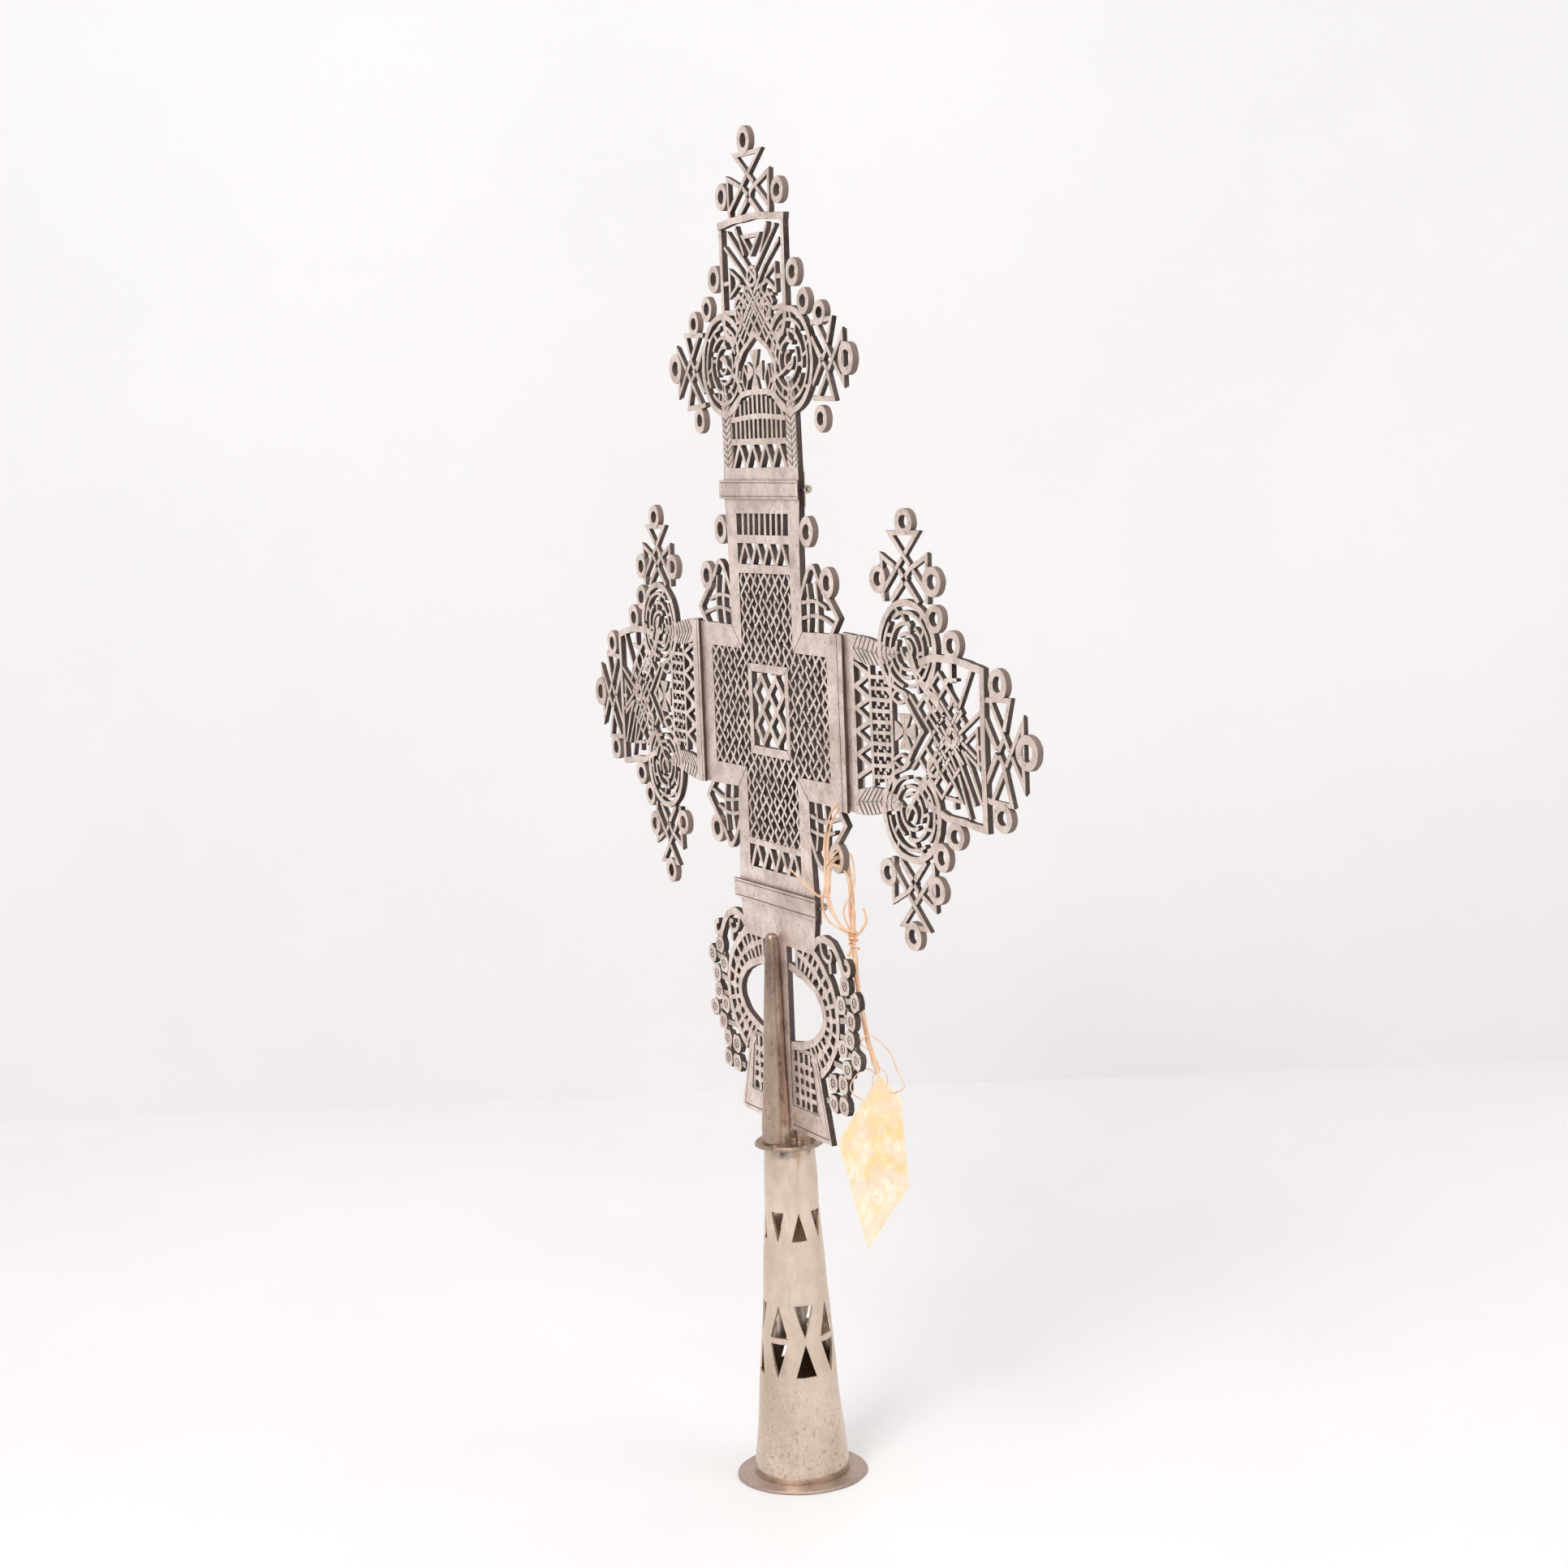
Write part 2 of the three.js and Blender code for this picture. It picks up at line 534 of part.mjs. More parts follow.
function placeHinge(mesh, name) {
  if (name === 'lower') mesh.position.set(0, AXIS_BACK, LOWER_SEAM);
  if (name === 'upper') mesh.position.set(0, AXIS_BACK, UPPER_SEAM);
  if (name === 'left' || name === 'right') {
    mesh.rotation.y = Math.PI / 2;
    mesh.position.set(name === 'left' ? -SIDE_SEAM : SIDE_SEAM, AXIS_BACK, ARM_MID);
  }
  return mesh;
}

function coverBand(half, height, mid) {
  return box(-half, half, FRONT - GAP - COVER_THICK, FRONT - GAP, mid - height / 2, mid + height / 2);
}

// ---- collector's tag on its raffia tie ---------------------------------------------------
function raffiaTie() {
  const route = new THREE.CatmullRomCurve3(TIE_ROUTE.map((point) => new THREE.Vector3(...point)));
  const section = new THREE.Shape();
  section.absarc(0, 0, TIE_DIAMETER / 2, 0, 2 * Math.PI);
  return solid(new THREE.ExtrudeGeometry(section, { steps: 28, curveSegments: 4, extrudePath: route }));
}

function paperTag() {
  const shape = polygon(TAG_OUTLINE);
  const tag = piece('paper_tag', slab(shape, -0.4, 0.4), paper);
  tag.rotation.z = TAG_TURN;
  tag.position.set(...TAG_HOLE);
  return tag;
}

// ---- assembly --------------------------------------------------------------------------
const cross = new THREE.Group();

cross.add(
  piece('socket_tube', socketTube(), silver),
  piece('base_flange', baseFlange(), silver),
  piece('collar', collar(), silver),
  piece('forked_stem', forkedStem(), stemMetal),
  piece('stem_pin_lower', stemPin(PIN_HEIGHTS[0]), pinMetal),
  piece('stem_pin_upper', stemPin(PIN_HEIGHTS[1]), pinMetal),
  piece('lower_plate', lowerPlate(), silver),
  piece('centre_plate', centrePlate(), silver),
  piece('top_plate', topPlate(), silver),
  piece('left_wing_plate', wingPlate(-1), silver),
  piece('lower_cover_band', coverBand(41, 8.8, LOWER_SEAM), silver),
  piece('upper_cover_band', coverBand(39.4, 8.2, UPPER_SEAM), silver),
);

for (const side of [-1, 1]) {
  const strip = box(-3.5, 3.5, FRONT - GAP - COVER_THICK, FRONT - GAP, ARM_MID - 37.4, ARM_MID + 37.4);
  const mesh = piece(side < 0 ? 'left_cover_strip' : 'right_cover_strip', strip, silver);
  mesh.position.x = side * SIDE_SEAM;
  cross.add(mesh);
}

// The right wing and its hinge leaf turn back together about the hinge axis.
const rightWing = new THREE.Group();
rightWing.position.set(SIDE_SEAM, AXIS_BACK, 0);
rightWing.rotation.z = RIGHT_WING_FOLD;
const rightPlate = piece('right_wing_plate', wingPlate(1), silver);
rightPlate.position.set(-SIDE_SEAM, -AXIS_BACK, 0);
const rightLeaf = piece('right_leaf_moving', hingeLeaf(1, 1), silver);
rightLeaf.rotation.y = Math.PI / 2;
rightLeaf.position.set(0, 0, ARM_MID);
rightWing.add(rightPlate, rightLeaf);
cross.add(rightWing);

// Side s is +1 where the leaf reaches up or outwards from the seam once it is in place.
const HINGES = [['lower', -1, 1], ['upper', -1, 1], ['left', 1, -1], ['right', -1, null]];
HINGES.forEach(([name, fixedSide, movingSide]) => {
  cross.add(placeHinge(piece(`${name}_leaf_fixed`, hingeLeaf(fixedSide, 0), silver), name));
  if (movingSide) {
    cross.add(placeHinge(piece(`${name}_leaf_moving`, hingeLeaf(movingSide, 1), silver), name));
  }
  const pin = rod(HINGE_PIN_RADIUS, HINGE_LENGTH + 1.6);
  cross.add(placeHinge(piece(`${name}_hinge_pin`, pin, pinMetal), name));
});

cross.add(piece('raffia_tie', raffiaTie(), raffia), paperTag());

export default cross;
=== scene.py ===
import json
import math

import bmesh
import bpy
from mathutils import Matrix, Vector, noise


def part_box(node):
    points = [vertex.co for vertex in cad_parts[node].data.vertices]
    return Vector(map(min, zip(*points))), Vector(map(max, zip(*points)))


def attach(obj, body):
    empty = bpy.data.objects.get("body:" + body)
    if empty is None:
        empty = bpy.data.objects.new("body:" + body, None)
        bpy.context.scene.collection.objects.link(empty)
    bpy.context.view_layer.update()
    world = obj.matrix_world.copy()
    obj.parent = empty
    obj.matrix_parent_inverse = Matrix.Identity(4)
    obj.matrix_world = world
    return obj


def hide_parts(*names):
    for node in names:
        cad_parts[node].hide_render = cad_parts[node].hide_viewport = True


MM = 0.001

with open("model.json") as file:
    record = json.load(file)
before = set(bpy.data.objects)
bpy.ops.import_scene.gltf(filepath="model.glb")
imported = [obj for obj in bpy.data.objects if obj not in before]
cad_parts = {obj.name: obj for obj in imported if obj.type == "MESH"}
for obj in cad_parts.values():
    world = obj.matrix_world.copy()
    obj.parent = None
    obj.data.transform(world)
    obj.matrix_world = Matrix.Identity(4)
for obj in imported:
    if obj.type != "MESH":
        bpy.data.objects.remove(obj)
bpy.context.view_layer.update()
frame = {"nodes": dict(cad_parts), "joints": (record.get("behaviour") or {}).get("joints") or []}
scene = bpy.context.scene


# ---- places taken from the frame, in millimetres

def node_box(name):
    low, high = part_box(name)
    return low / MM, high / MM


def joint_pivot(name):
    joint = next(j for j in frame["joints"] if j["name"] == name)
    return Vector(joint["pos_m"]) / MM


FRONT = node_box("centre_plate")[0].y
BACK = node_box("centre_plate")[1].y
SEAM_SIDE = joint_pivot("right_fold").x
ARM_MID = joint_pivot("right_fold").z
COLLAR_TOP = node_box("collar")[1].z
COLLAR_UNDER = node_box("collar")[0].z
STEM_TOP = node_box("forked_stem")[1].z
RIGHT_WING_FOLD = math.radians(7)
WEAVE_DEPTH = 1.3
WANDER, WANDER_REACH = 0.35, 16.0
WAVER, WAVER_REACH = 0.34, 4.2


# ---- camera

CAMERA_PLACE = Vector((1.111, -0.5334, 0.4684))
CAMERA_HEADING, CAMERA_DROP, CAMERA_LEAN = map(math.radians, (64.17, 7.09, -2.3))
SENSOR_WIDTH, LENS, VIEW_REACH = 36, 64.64, 20


def make_camera():
    data = bpy.data.cameras.new("camera")
    data.sensor_width = SENSOR_WIDTH
    data.lens = LENS
    data.clip_end = VIEW_REACH
    camera = bpy.data.objects.new("camera", data)
    scene.collection.objects.link(camera)
    scene.camera = camera
    turn = Matrix.Rotation(CAMERA_HEADING, 3, "Z") @ Matrix.Rotation(math.pi / 2 - CAMERA_DROP, 3, "X")
    camera.matrix_world = Matrix.Translation(CAMERA_PLACE) @ (
        turn @ Matrix.Rotation(CAMERA_LEAN, 3, "Z")).to_4x4()


# ---- shared mesh steps

def shown(name, mesh):
    obj = bpy.data.objects.new(name, mesh)
    scene.collection.objects.link(obj)
    return obj


def mesh_of(work, name="work"):
    """The mesh that a bmesh gives, and the bmesh is freed."""
    mesh = bpy.data.meshes.new(name)
    work.to_mesh(mesh)
    work.free()
    return mesh


def sliced(work, normal, places):
    """Cuts edges into a bmesh across a direction, so that it can bend there."""
    for place in places:
        bmesh.ops.bisect_plane(work, geom=[*work.verts, *work.edges, *work.faces],
                               plane_co=Vector(normal) * place, plane_no=normal)


def uneven(*place):
    return noise.noise(Vector(place))


def evaluated(obj):
    """The mesh that an object's modifiers or curve settings give, and the object is removed."""
    bpy.context.view_layer.update()
    depsgraph = bpy.context.evaluated_depsgraph_get()
    mesh = bpy.data.meshes.new_from_object(obj.evaluated_get(depsgraph))
    bpy.data.objects.remove(obj)
    return mesh


def hand_wander(point):
    """The slow wander and the short waver of hand cutting, the same for every piece at one place."""
    drift = noise.noise_vector(point / WANDER_REACH)
    waver = noise.noise_vector(Vector((point.x, 0, point.z)) / WAVER_REACH) * WAVER
    return Vector((point.x + drift.x * WANDER + waver.x, point.y + drift.y * WANDER * 0.4,
                   point.z + drift.z * WANDER + waver.z))


def on_body(obj, body, nodes=()):
    if nodes:
        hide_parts(*nodes)
    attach(obj, body)
    return obj


def finish_piece(name, work, body, material, nodes, smooth=30, wander=True, turn=None,
                 rings_with_rim_wear_and_light=()):
    """Gives a bmesh drawn in millimetres its hand-made wander, its turn, its material and its body.
    The outer walls of the rings passed in, given as centre and radius, are marked to be painted lighter than
    the other cut walls: partly rub wear, partly painted light."""
    # The depth mark is highest in the middle of the sheet's thickness, where sunk strands lie; the material
    # paints tarnish together with painted shade there.
    hollow_tarnish_and_shade = work.verts.layers.float.new("hollow_tarnish_and_shade")
    # The rim mark picks the outer walls of rings, which get painted lighter: partly rub wear, partly painted
    # light.
    rim_wear_and_light = work.verts.layers.float.new("rim_wear_and_light")
    for vert in work.verts:
        depth = (min(max(vert.co.y, FRONT), BACK) - FRONT) / (BACK - FRONT)
        vert[hollow_tarnish_and_shade] = 1 - abs(2 * depth - 1)
        vert[rim_wear_and_light] = any(0.78 < math.dist(centre, (vert.co.x, vert.co.z)) / outer < 1.1
                         for centre, outer in rings_with_rim_wear_and_light)
        if wander:
            vert.co = hand_wander(vert.co)
    if turn:
        bmesh.ops.transform(work, matrix=turn, verts=work.verts)
    bmesh.ops.scale(work, vec=(MM, MM, MM), verts=work.verts)
    mesh = mesh_of(work, name)
    mesh.materials.append(material)
    mesh.shade_smooth()
    mesh.set_sharp_from_angle(angle=math.radians(smooth))
    return on_body(shown(name, mesh), body, nodes)


def about_axis(pivot, angle, axis):
    return Matrix.Translation(pivot) @ Matrix.Rotation(angle, 4, axis) @ Matrix.Translation(-pivot)


# ---- lines that the straps follow

def arc(centre, radius, start, end, step=1.5):
    """Points along an arc, by angles in degrees anticlockwise from +X; radius may be (across, up)."""
    across, up = radius if isinstance(radius, tuple) else (radius, radius)
    first, sweep = math.radians(start), math.radians(end - start)
    count = max(5, math.ceil(abs(sweep) * max(across, up) / step))
    angles = [first + sweep * i / count for i in range(count + 1)]
    return [(centre[0] + across * math.cos(a), centre[1] + up * math.sin(a)) for a in angles]


def circle(centre, radius, step=1.2):
    return arc(centre, radius, 0, 360, step)[:-1]


def smooth_line(*points, steps=5):
    """A smooth line through a few points."""
    line = []
    ends = [points[0], *points, points[-1]]
    for a, b, c, d in zip(ends, ends[1:], ends[2:], ends[3:]):
        for k in range(steps):
            t = k / steps
            line.append(tuple(
                0.5 * (2 * q + (r - p) * t + (2 * p - 5 * q + 4 * r - s) * t * t
                       + (3 * q - p - 3 * r + s) * t ** 3)
                for p, q, r, s in zip(a, b, c, d)))
    return line + [points[-1]]


def sided(path, side):
    return [(x * side, z) for x, z in path]


def mirrored(path):
    return sided(path, -1)


def both_sides(*paths):
    return [*paths, *map(mirrored, paths)]


def zigzag(start, end, low, high, peaks):
    step = (end - start) / (2 * peaks)
    return [(start + i * step, high if i % 2 else low) for i in range(2 * peaks + 1)]


def block(x0, x1, z0, z1):
    return [(x0, z0), (x1, z0), (x1, z1), (x0, z1)]


def placed(path, at, heading=0.0, scale=(1, 1)):
    """A path drawn about the origin with its head up, set at a point with its head towards heading."""
    c, s = math.cos(math.radians(heading - 90)), math.sin(math.radians(heading - 90))
    return [(at[0] + c * u * scale[0] - s * v * scale[1], at[1] + s * u * scale[0] + c * v * scale[1])
            for u, v in path]


def without_straights(path):
    kept = [path[0]]
    for before, here, after in zip(path, path[1:], path[2:]):
        ahead, behind = Vector(after) - Vector(here), Vector(here) - Vector(before)
        if abs(ahead.cross(behind)) > 1e-4:
            kept.append(here)
    return kept + [path[-1]]


# ---- one cut sheet

class Sheet:
    """Straps and flat areas cut from one sheet. Sink is how far a face lies behind the front."""

    def __init__(self):
        self.straps = {}
        self.rings = []
        self.result = bmesh.new()

    def strap(self, path, width, sink=0.0, depth=None, closed=False):
        back = BACK - sink * 0.15 if depth is None else FRONT + sink + depth
        self.straps.setdefault((width, FRONT + sink, back), []).append((path, closed))

    def straps_of(self, paths, width, sink=0.0, depth=None, closed=False):
        for path in paths:
            self.strap(path, width, sink, depth, closed)

    def take(self, mesh):
        self.result.from_mesh(mesh)
        bpy.data.meshes.remove(mesh)

    def area(self, outlines, sink=0.0, depth=None, edge=0.22):
        """A flat area with openings, its outlines filled by the even-odd rule."""
        back = BACK if depth is None else FRONT + sink + depth
        middle = (FRONT + sink + back) / 2
        data = bpy.data.curves.new("work", "CURVE")
        data.dimensions = "2D"
        data.fill_mode = "BOTH"
        data.bevel_depth = edge
        data.bevel_resolution = 1
        data.offset = -edge
        data.extrude = (back - FRONT - sink) / 2 - edge
        for outline in outlines:
            spline = data.splines.new("POLY")
            spline.points.add(len(outline) - 1)
            spline.use_cyclic_u = True
            for point, (x, z) in zip(spline.points, outline):
                point.co = (x, z, 0, 1)
        mesh = evaluated(shown("work", data))
        mesh.transform(Matrix.Translation((0, middle, 0)) @ Matrix.Rotation(math.pi / 2, 4, "X"))
        work = bmesh.new()
        work.from_mesh(mesh)
        bmesh.ops.remove_doubles(work, verts=work.verts, dist=0.002)
        bmesh.ops.recalc_face_normals(work, faces=work.faces)
        bpy.data.meshes.remove(mesh)
        self.take(mesh_of(work))

    def weave(self, strands, width, gap=0.55, sink=0.12):
        """Strands that pass over and under each other; the lower ones run on behind the cut ones."""
        for turn, (path, loop, cuts) in enumerate(interlace(strands, width, gap)):
            shift = 0.05 * (turn % 3)
            self.strap(path, width * 0.78, sink + WEAVE_DEPTH + shift, closed=loop)
            for piece, whole in cuts:
                self.strap(piece, width, sink + shift * 0.4, WEAVE_DEPTH + 0.15, closed=whole)

    def ring(self, centre, outer, hole=0.5, sink=0.0):
        self.rings.append((centre, outer))
        radius = outer * (1 + hole) / 2
        lean = noise.noise(Vector((*centre, 3.0)) / 7)
        oval = (0.95 * radius * (1 + 0.07 * lean), 0.95 * radius * (1 - 0.06 * lean))
        band = 0.94 * outer * (1 - hole)
        self.strap(circle(centre, oval, 1.0), band, sink - 0.12, closed=True)

    def engraved(self, path, width, lines, sink=0.0, groove=0.38, floor=0.45, depth=2.8):
        """A strap with lines cut along it, at places given as shares of its width."""
        places = [0.0, *lines, 1.0]
        self.strap(path, width, sink + floor, depth - floor)
        for near, far in zip(places, places[1:]):
            inset = groove / 2 if near else 0
            outset = groove / 2 if far < 1 else 0
            broad = (far - near) * width - inset - outset
            middle = (near + far) / 2 * width + (inset - outset) / 2 - width / 2
            self.strap(beside(path, middle), broad, sink, floor + 0.2)

    def finished(self, edge=0.2):
        for (width, front, back), items in self.straps.items():
            work = bmesh.new()
            for path, closed in items:
                points = [work.verts.new((x, front, z)) for x, z in path]
                pairs = list(zip(points, points[1:])) + ([(points[-1], points[0])] if closed else [])
                lines = [work.edges.new(pair) for pair in pairs]
                swept = bmesh.ops.extrude_edge_only(work, edges=lines)["geom"]
                wall = [part for part in swept if isinstance(part, bmesh.types.BMVert)]
                bmesh.ops.translate(work, verts=wall, vec=(0, back - front, 0))
            bmesh.ops.recalc_face_normals(work, faces=work.faces)
            obj = shown("work", mesh_of(work))
            solid = obj.modifiers.new("thickness", "SOLIDIFY")
            solid.thickness = width
            solid.offset = 0
            solid.use_even_offset = True
            bevel = obj.modifiers.new("edges", "BEVEL")
            bevel.width = min(edge, width * 0.22, (back - front) * 0.3)
            bevel.segments = 2
            bevel.limit_method = "ANGLE"
            bevel.angle_limit = math.radians(50)
            bevel.use_clamp_overlap = False
            self.take(evaluated(obj))
        return self.result


def beside(path, distance):
    """The path moved sideways, to its left for a positive distance."""
    moved = []
    for i, point in enumerate(path):
        before, after = Vector(path[max(i - 1, 0)]), Vector(path[min(i + 1, len(path) - 1)])
        along = (after - before).normalized()
        moved.append((point[0] - along.y * distance, point[1] + along.x * distance))
    return moved


# ---- interlace: which strand passes over

def meeting(a, b, c, d):
    """Shares along a-b and c-d where the two lines cross, or None."""
    along, across, gap = b - a, d - c, c - a
    slope = along.cross(across)
    if abs(slope) < 1e-6:
        return None
    t, u = gap.cross(across) / slope, gap.cross(along) / slope
    return (t, u) if 0.001 < t < 0.999 and 0.001 < u < 0.999 else None


def interlace(strands, width, gap):
    """For each strand: its whole line, whether it closes, and its cut pieces."""
    lines, parts = [], []
    for number, (path, loop) in enumerate(strands):
        points = [Vector(p) for p in (path + path[:1] if loop else path)]
        travelled = 0.0
        for a, b in zip(points, points[1:]):
            parts.append((number, a, b, travelled))
            travelled += (b - a).length
        lines.append((points, loop, travelled))
    visits = [[] for _ in lines]
    crossings = []
    for i, (m, a, b, start) in enumerate(parts):
        for n, c, d, other in parts[i + 1:]:
            if min(a.x, b.x) > max(c.x, d.x) or max(a.x, b.x) < min(c.x, d.x):
                continue
            if min(a.y, b.y) > max(c.y, d.y) or max(a.y, b.y) < min(c.y, d.y):
                continue
            hit = meeting(a, b, c, d)
            if hit is None:
                continue
            key = len(crossings)
            sine = abs((b - a).normalized().cross((d - c).normalized()))
            crossings.append(((m, 0), (n, 1)))
            reach = (width / 2) / max(sine, 0.35) + gap
            visits[m].append((start + hit[0] * (b - a).length, key, 0, reach))
            visits[n].append((other + hit[1] * (d - c).length, key, 1, reach))
    for row in visits:
        row.sort()
    neighbours = {}
    for number, row in enumerate(visits):
        pairs = list(zip(row, row[1:])) + ([(row[-1], row[0])] if lines[number][1] and len(row) > 2 else [])
        for here, there in pairs:
            neighbours.setdefault((here[1], here[2]), []).append((there[1], there[2]))
            neighbours.setdefault((there[1], there[2]), []).append((here[1], here[2]))
    over = {}
    for key in range(len(crossings)):
        if key in over:
            continue
        over[key] = 0
        queue = [key]
        while queue:
            here = queue.pop(0)
            for side in (0, 1):
                for there, their_side in neighbours.get((here, side), []):
                    if there not in over:
                        on_top = over[here] == side
                        over[there] = 1 - their_side if on_top else their_side
                        queue.append(there)
    results = []
    for number, (points, loop, length) in enumerate(lines):
        gaps = [(at - reach, at + reach) for at, key, side, reach in visits[number] if over[key] != side]
        path = [tuple(p) for p in (points[:-1] if loop else points)]
        results.append((path, loop, cut_line(points, loop, length, gaps)))
    return results


def cut_line(points, loop, length, gaps):
    """What is left of a line when the stretches in gaps are taken out."""
    if not gaps:
        return [([tuple(p) for p in (points[:-1] if loop else points)], loop)]
    spans, start = [], 0.0
    for low, high in sorted(gaps):
        if low - start > 0.5:
            spans.append((start, low))
        start = max(start, high)
    if length - start > 0.5:
        spans.append((start, length))
    pieces = [stretch(points, a, b) for a, b in spans]
    if loop and len(pieces) > 1 and spans[0][0] == 0.0 and spans[-1][1] == length:
        joined = pieces.pop() + pieces.pop(0)[1:]
        pieces.append(joined)
    return [(piece, False) for piece in pieces]


def stretch(points, start, end):
    """The part of a line between two distances along it."""
    piece, travelled = [], 0.0
    for a, b in zip(points, points[1:]):
        size = (b - a).length
        low, high = max(start - travelled, 0.0), min(end - travelled, size)
        if high > low and size > 0:
            first, last = a.lerp(b, low / size), a.lerp(b, high / size)
            if not piece:
                piece.append(tuple(first))
            piece.append(tuple(last))
        travelled += size
    return piece


def plait(inside, side_wall, level_wall, parity, spread, bounce=False):
    """Strands of a flat plait: they run on the diagonals of a net and turn back at its walls.
    inside(i, j) tells whether the middle of a diagonal lies in the plait. With bounce, a strand
    also turns back wherever the plait ends."""
    strands, used = [], set()
    reach = range(-spread, spread + 1)
    nodes = [(i, j) for j in reach for i in reach if (i + j) % 2 == parity]

    def free(p, d):
        return inside(p[0] + d[0] / 2, p[1] + d[1] / 2) and (p, d) not in used

    def walk(p, d):
        path = []
        while free(p, d):
            q = (p[0] + d[0], p[1] + d[1])
            used.update({(p, d), (q, (-d[0], -d[1]))})
            sideways, upright = side_wall(*q), level_wall(*q)
            pull_x, pull_z = (0.3 * d[0] * (sideways == 2), 0.3 * d[1] * (upright == 2))
            path.append((q[0] - pull_x, q[1] - pull_z))
            d = (-d[0] if sideways else d[0], -d[1] if upright else d[1])
            p = q
            if bounce and not free(p, d):
                d = next((turn for turn in ((-d[0], d[1]), (d[0], -d[1])) if free(p, turn)), d)
        return path, p

    for node in nodes:
        for d in ((1, 1), (1, -1)):
            if not free(node, d):
                continue
            ahead, last = walk(node, d)
            if last == node:
                strands.append((ahead, True))
                continue
            sideways, upright = side_wall(*node), level_wall(*node)
            back = (d[0] if sideways else -d[0], d[1] if upright else -d[1])
            behind, _ = walk(node, back)
            strands.append((behind[::-1] + [node] + ahead, False))
    return strands


# ---- materials

def new_material(name):
    material = bpy.data.materials.new(name)
    material.use_nodes = True
    tree = material.node_tree
    shader = tree.nodes["Principled BSDF"]
    return material, tree, shader


def node(tree, kind, **settings):
    made = tree.nodes.new(kind)
    for key, value in settings.items():
        if key.startswith("in_"):
            made.inputs[key[3:].replace("_", " ")].default_value = value
        else:
            setattr(made, key, value)
    return made


def noise_field(tree, where, scale, detail=4.0, stretch_by=(1, 1, 1), rough=0.55):
    mapping = node(tree, "ShaderNodeMapping")
    mapping.inputs["Scale"].default_value = stretch_by
    texture = node(tree, "ShaderNodeTexNoise", in_Scale=scale, in_Detail=detail, in_Roughness=rough)
    tree.links.new(where, mapping.inputs["Vector"])
    tree.links.new(mapping.outputs["Vector"], texture.inputs["Vector"])
    return texture.outputs["Fac"]


def ramp(tree, value, low, high, dark=0.0, light=1.0):
    made = node(tree, "ShaderNodeMapRange", clamp=True)
    for key, number in zip(("From Min", "From Max", "To Min", "To Max"), (low, high, dark, light)):
        made.inputs[key].default_value = number
    tree.links.new(value, made.inputs["Value"])
    return made.outputs["Result"]


def maths(tree, operation, a, b):
    made = node(tree, "ShaderNodeMath", operation=operation, use_clamp=operation != "POWER")
    for socket, value in zip(made.inputs, (a, b)):
        if isinstance(value, (int, float)):
            socket.default_value = value
        else:
            tree.links.new(value, socket)
    return made.outputs[0]


def mixed(tree, factor, first, second):
    made = node(tree, "ShaderNodeMix", data_type="RGBA")
    for socket, value in zip((made.inputs[0], made.inputs[6], made.inputs[7]), (factor, first, second)):
        if hasattr(value, "links"):
            tree.links.new(value, socket)
        elif isinstance(value, tuple):
            socket.default_value = (*value, 1)
        else:
            socket.default_value = value
    return made.outputs[2]


def coated(tree, shader, base, roughness):
    tree.links.new(base, shader.inputs["Base Color"])
    shader.inputs["Roughness"].default_value = roughness


def bumped(tree, shader, height, strength, distance):
    bump = node(tree, "ShaderNodeBump", in_Strength=strength, in_Distance=distance)
    tree.links.new(height, bump.inputs["Height"])
    tree.links.new(bump.outputs["Normal"], shader.inputs["Normal"])


BLOTCH, SCUFF, FLECK = (0.40, 0.30, 0.235), (0.30, 0.215, 0.17), (0.14, 0.092, 0.07)
# Colours for cut walls and recesses: dark tarnish together with painted shade. The third colour is rub wear
# together with painted light, for the outer walls of rings.
TARNISH_AND_SHADE_DARK, TARNISH_AND_SHADE_LIGHT, RIM_WEAR_AND_LIGHT_COLOUR = (0.022, 0.0125, 0.011), (0.060, 0.037, 0.031), (0.19, 0.138, 0.115)


